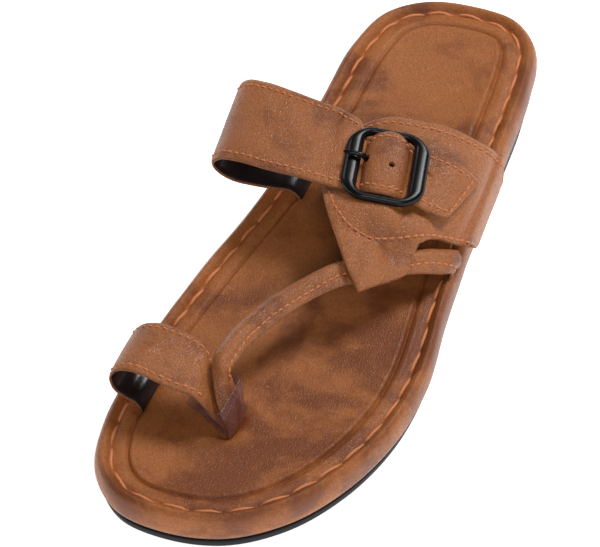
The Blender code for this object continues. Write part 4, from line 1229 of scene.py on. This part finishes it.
def strap_rows(seat):
    """Edge pairs of the buckle strap: table, through the buckle, then its tail on the panel."""
    rows = rows_of(BUCKLE_STRAP)
    for u, heel, toe, heel_bulge, toe_bulge in BUCKLE_RUN:
        ends = [seat.local(u * HALF_WIDTH, v * HALF_HEIGHT, UNDER_BAR + bulge * (BULGE - UNDER_BAR))
                for v, bulge in ((heel, heel_bulge), (toe, toe_bulge))]
        rows.append((*ends[0], *ends[1], -BULGE_CROWN * heel_bulge))
    for heel_u, heel_v, toe_u, toe_v, heel_lift, toe_lift in TAIL:
        ends = []
        for u, v, lift in ((heel_u, heel_v, heel_lift), (toe_u, toe_v, toe_lift)):
            hit, normal = seat.on(u, v)
            ends.append(hit + normal * (UNDER_BAR + CLEARANCE + lift))
        rows.append((*ends[0], *ends[1], 0.0))
    return rows


def build_buckle_strap(seat, panel_tree):
    """Wide strap out of the inner side, through the buckle and onto the panel, sewn all round."""
    mesh, skip, ripple = STRAPS["buckle"]
    grid = span(strap_rows(seat), STRAP_STEPS, shares_across(*mesh))[:, ::-1]
    tail = STRAP_STEPS * (len(TAIL) + 1)
    for row in grid[-tail:]:
        for point in row:
            hit, normal = below(panel_tree, point[0], point[1])
            if hit is not None:
                point[2] = max(point[2], hit.z + (UNDER_BAR + CLEARANCE) / max(abs(normal.z), 0.5))
    relief = rippled(grid, *ripple) - furrow(grid, STRAP_SEAM)
    sheet = Sheet(grid, sizes().strap_leather, relief)
    obj = sheet.build("buckle_strap_leather", leather_set())
    spare = [(*SPARE_HOLE, CENTRE_HEIGHT), (*SPARE_HOLE, BULGE * 2)]
    bored(obj, seat, ((spline(prong_line()[:5], 4), PRONG + CLEARANCE * 2), (spare, HOLE / 2)))
    own(obj, "buckle_strap")
    toe, heel = (sheet.line(STRAP_SEAM, side, skip) for side in (0, 1))
    end = len(grid) - skip[1]
    across = sheet.top[end, 4:-4], sheet.normals[end, 4:-4]
    sew("buckle_strap_stitches", [heel, toe, across], 14)


# Buckle

def bored(obj, seat, bars):
    """Cuts a hole along each path of the buckle's frame through a piece."""
    for path, radius in bars:
        points, faces = tube(seat, path, [radius] * len(path), sides=24)
        cutter = make_mesh("hole", points, faces, list(obj.data.materials), [1] * len(faces))
        modifier = obj.modifiers.new("hole", "BOOLEAN")
        modifier.operation = "DIFFERENCE"
        modifier.solver = "MANIFOLD"
        modifier.object = cutter
        bpy.context.view_layer.update()
        obj.data = bpy.data.meshes.new_from_object(obj.evaluated_get(bpy.context.evaluated_depsgraph_get()))
        obj.modifiers.clear()
        bpy.data.objects.remove(cutter)


def prong_line():
    """Prong's line in the buckle's frame: from its eye over the strap to the inner end bar."""
    rest = BAR_LOW + BAR_DEPTH + CLEARANCE * 1.5 + PRONG
    return [(-run, PRONG_SIDE, CENTRE_HEIGHT + (rest - CENTRE_HEIGHT) * climb) for run, climb in PRONG_LINE]


def rounded(half_u, half_v, radius, count):
    """Rounded rectangle as a loop of count points, four corners of equal steps."""
    loop = []
    per = count // 4
    for quarter, (su, sv) in enumerate(((1, 1), (-1, 1), (-1, -1), (1, -1))):
        for k in range(per):
            angle = (quarter + k / (per - 1)) * pi / 2
            loop.append((su * (half_u - radius) + radius * cos(angle),
                         sv * (half_v - radius) + radius * sin(angle)))
    return loop


def bowed(loop):
    """Buckle's outline with its two end bars bent outwards."""
    out = []
    for u, v in loop:
        share = u / (HALF_WIDTH)
        out.append((u + BUCKLE_BOW * share * abs(share) * (1 - (v / (HALF_HEIGHT))**2), v))
    return out


def tube(seat, path, radii, sides=16):
    """Points and faces of a round bar along a path in the buckle's frame."""
    path = np.array(path)
    run = unit(np.gradient(path, axis=0))
    side = unit(np.cross(run, np.array(SKEW)))
    up = np.cross(side, run)
    points = []
    for centre, a, b, radius in zip(path, side, up, radii):
        for k in range(sides):
            angle = 2 * pi * k / sides
            points.append(seat.local(*(centre + radius * (a * cos(angle) + b * sin(angle)))))
    return points, grid_faces(len(path), sides, closed=True) + end_faces(len(path), sides)


def build_frame(seat):
    """Enamelled frame with bevelled end bars and its centre bar."""
    count = BUCKLE_POINTS
    outer = bowed(rounded(HALF_WIDTH, HALF_HEIGHT, BUCKLE_WIDTH * OUTER_CORNER, count))
    inner = rounded(HALF_WIDTH - WIDE_BAR, HALF_HEIGHT - THIN_BAR, BUCKLE_WIDTH * INNER_CORNER, count)
    section = spline(BAR_SECTION, 2, closed=True)
    points = []
    for (ou, ov), (iu, iv) in zip(outer, inner):
        for t, h in section:
            points.append(seat.local(ou + (iu - ou) * t, ov + (iv - ov) * t, BAR_LOW + h * BAR_DEPTH))
    faces = grid_faces(count, len(section), closed=True)
    last = (count - 1) * len(section)
    for k in range(len(section)):
        n = (k + 1) % len(section)
        faces.append((last + k, last + n, n, k))
    enamel = [material_of("black_enamel")]
    own(make_mesh("buckle_enamel_frame", points, faces, enamel, sharp=35.0), "buckle_frame")
    reach = HALF_HEIGHT - THIN_BAR / 2
    path = [(0, v, CENTRE_HEIGHT) for v in np.linspace(-reach, reach, 5)]
    points, faces = tube(seat, path, [CENTRE_BAR] * 5)
    own(make_mesh("buckle_centre_bar", points, faces, enamel), "buckle_frame")


def build_prong(seat):
    """Prong from its eye on the centre bar, through the strap and over the inner end bar."""
    path = spline(prong_line(), 6)
    radii = PRONG * (1.0 - PRONG_TAPER * np.linspace(0, 1, len(path)))
    radii[-3:] *= PRONG_TIP
    points, faces = tube(seat, path, radii)
    angles = np.linspace(0, 2 * pi, 25)
    middle = CENTRE_BAR + CLEARANCE + KEEPER_LEATHER / 2
    eye = [(middle * cos(a), PRONG_SIDE, CENTRE_HEIGHT + middle * sin(a)) for a in angles]
    eye_points, eye_faces = tube(seat, eye, [KEEPER_LEATHER / 2] * len(eye))
    start = len(points)
    faces += [tuple(start + i for i in face) for face in eye_faces]
    enamel = [material_of("black_enamel")]
    own(make_mesh("buckle_enamel_prong", points + eye_points, faces, enamel), "buckle_prong")


def dress_keeper():
    """Leather of the loop that holds the centre bar."""
    for slot in frame["nodes"]["buckle_keeper"].material_slots:
        slot.link = "OBJECT"
        slot.material = material_of("oiled_strap")


# Sleeve

def build_sleeve():
    """Thin crumpled film round the straps at the toe post."""
    rows = spline(SLEEVE, 5)
    sides = 64
    walls = []
    for side in (1, -1):
        loops = []
        for along, across, rise, length, width in rows:
            centre = place(along, across, rise)
            grow = side * FILM_WALL
            half_x, half_y = width * POST_LENGTH + grow, length * POST_LENGTH + grow
            loop = rounded(half_x, half_y, SLEEVE_CORNER + grow, sides)
            loops.append([centre + np.array((x, y, 0.0)) for x, y in loop])
        grid = np.array(loops)
        out = grid - grid.mean(axis=1, keepdims=True)
        out[..., 2] = 0
        grid += unit(out) * (rippled(grid, *FILM_DENTS) + FILM_ROOM)[..., None]
        walls.append(grid)
    count = len(rows)
    points = np.concatenate([wall.reshape(-1, 3) for wall in walls])
    faces = grid_faces(count, sides, closed=True) + grid_faces(count, sides, count * sides, closed=True)
    for row in (0, count - 1):
        for k in range(sides):
            n = (k + 1) % sides
            a, b = row * sides, (count + row) * sides
            faces.append((a + k, a + n, b + n, b + k))
    film = material_of("clear_film")
    film.node_tree.nodes["Principled BSDF"].inputs["Alpha"].default_value = FILM_ALPHA
    own(make_mesh("toe_post_film", points, faces, [film], sharp=80.0), "toe_post_sleeve")


# Stage

def camera_matrix():
    """Place and turn of the camera that sees the sandal as the photo does."""
    azimuth, elevation, roll = radians(CAMERA_AZIMUTH), radians(CAMERA_ELEVATION), radians(CAMERA_ROLL)
    back = Vector((sin(azimuth) * cos(elevation), -cos(azimuth) * cos(elevation), sin(elevation)))
    right = Vector((cos(azimuth), sin(azimuth), 0.0))
    up = back.cross(right)
    x_axis = right * cos(roll) + up * sin(roll)
    y_axis = up * cos(roll) - right * sin(roll)
    matrix = Matrix((x_axis, y_axis, back)).transposed().to_4x4()
    offset = Vector(CAMERA_OFFSET)
    target = Vector(CAMERA_TARGET) + Vector((SIDE_SHIFT, 0.0, 0.0))
    matrix.translation = target + x_axis * offset.x + y_axis * offset.y + back * offset.z
    return matrix


def in_scene(name, data):
    """Object of a light or a camera, linked to the scene."""
    obj = bpy.data.objects.new(name, data)
    bpy.context.scene.collection.objects.link(obj)
    return obj


def build_stage():
    """Pale floor, soft studio light and the camera."""
    white = (1.0, 1.0, 1.0, 1.0)
    half = sizes().floor / 2
    corners = [(-half, -half, 0.0), (half, -half, 0.0), (half, half, 0.0), (-half, half, 0.0)]
    material = material_of("stage_floor")
    shader = material.node_tree.nodes["Principled BSDF"]
    shader.inputs["Emission Color"].default_value = white
    shader.inputs["Emission Strength"].default_value = FLOOR_GLOW
    make_mesh("stage_floor", corners, [(0, 1, 2, 3)], [material])
    for name, at, size, power in LIGHTS:
        light = bpy.data.lights.new(name, "AREA")
        light.shape = "RECTANGLE"
        light.size, light.size_y = size
        light.energy = power
        obj = in_scene(name, light)
        obj.location = at
        obj.rotation_euler = (-Vector(at)).to_track_quat("-Z", "Y").to_euler()
    studio = bpy.data.worlds.new("studio")
    studio.use_nodes = True
    background = studio.node_tree.nodes["Background"]
    background.inputs["Color"].default_value = white
    background.inputs["Strength"].default_value = SKY
    bpy.context.scene.world = studio
    bpy.context.scene.view_settings.view_transform = "Standard"
    camera = bpy.data.cameras.new("photo_camera")
    camera.lens = FOCAL_PIXELS * camera.sensor_width / PICTURE[0]
    camera.clip_start, camera.clip_end = CAMERA_REACH
    obj = in_scene("photo_camera", camera)
    obj.matrix_world = camera_matrix()
    bpy.context.scene.camera = obj


# Operators

class SANDAL_OT_sole(bpy.types.Operator):
    """Builds the outsole, the footbed and its stitches"""
    bl_idname = "sandal.sole"
    bl_label = "Sole and footbed"

    def execute(self, context):
        build_outsole()
        build_footbed_stitches(build_footbed())
        return {"FINISHED"}


class SANDAL_OT_upper(bpy.types.Operator):
    """Builds the panel, the toe band and the toe ring"""
    bl_idname = "sandal.upper"
    bl_label = "Upper"

    def execute(self, context):
        build_panel()
        build_thong()
        build_ring()
        return {"FINISHED"}


class SANDAL_OT_buckle(bpy.types.Operator):
    """Builds the buckle strap with its buckle"""
    bl_idname = "sandal.buckle"
    bl_label = "Strap and buckle"

    def execute(self, context):
        seat = Seat()
        build_buckle_strap(seat, panel_sheet().tree())
        build_frame(seat)
        build_prong(seat)
        dress_keeper()
        return {"FINISHED"}


class SANDAL_OT_sleeve(bpy.types.Operator):
    """Builds the film sleeve at the toe post"""
    bl_idname = "sandal.sleeve"
    bl_label = "Film sleeve"

    def execute(self, context):
        build_sleeve()
        return {"FINISHED"}


class SANDAL_OT_stage(bpy.types.Operator):
    """Builds the floor, the lights and the camera"""
    bl_idname = "sandal.stage"
    bl_label = "Stage"

    def execute(self, context):
        build_stage()
        return {"FINISHED"}


OPERATORS = (SANDAL_OT_sole, SANDAL_OT_upper, SANDAL_OT_buckle, SANDAL_OT_sleeve, SANDAL_OT_stage)


class SANDAL_PT_panel(bpy.types.Panel):
    """Sizes, colours and building steps of the sandal"""
    bl_idname = "SANDAL_PT_panel"
    bl_label = "Toe ring sandal"
    bl_space_type = "VIEW_3D"
    bl_region_type = "UI"
    bl_category = "Sandal"

    def draw(self, context):
        for group in (context.scene.sandal_sizes, context.scene.sandal_colours):
            box = self.layout.box()
            for name in group.__annotations__:
                box.prop(group, name)
        for operator in OPERATORS:
            self.layout.operator(operator.bl_idname)


CLASSES = (SandalSizes, SandalColours, *OPERATORS, SANDAL_PT_panel)


def register():
    for cls in CLASSES:
        bpy.utils.register_class(cls)
    bpy.types.Scene.sandal_sizes = bpy.props.PointerProperty(type=SandalSizes)
    bpy.types.Scene.sandal_colours = bpy.props.PointerProperty(type=SandalColours)


def unregister():
    del bpy.types.Scene.sandal_colours
    del bpy.types.Scene.sandal_sizes
    for cls in reversed(CLASSES):
        bpy.utils.unregister_class(cls)


def main():
    register()
    for operator in OPERATORS:
        group, name = operator.bl_idname.split(".")
        getattr(getattr(bpy.ops, group), name)()


if __name__ == "__main__":
    main()
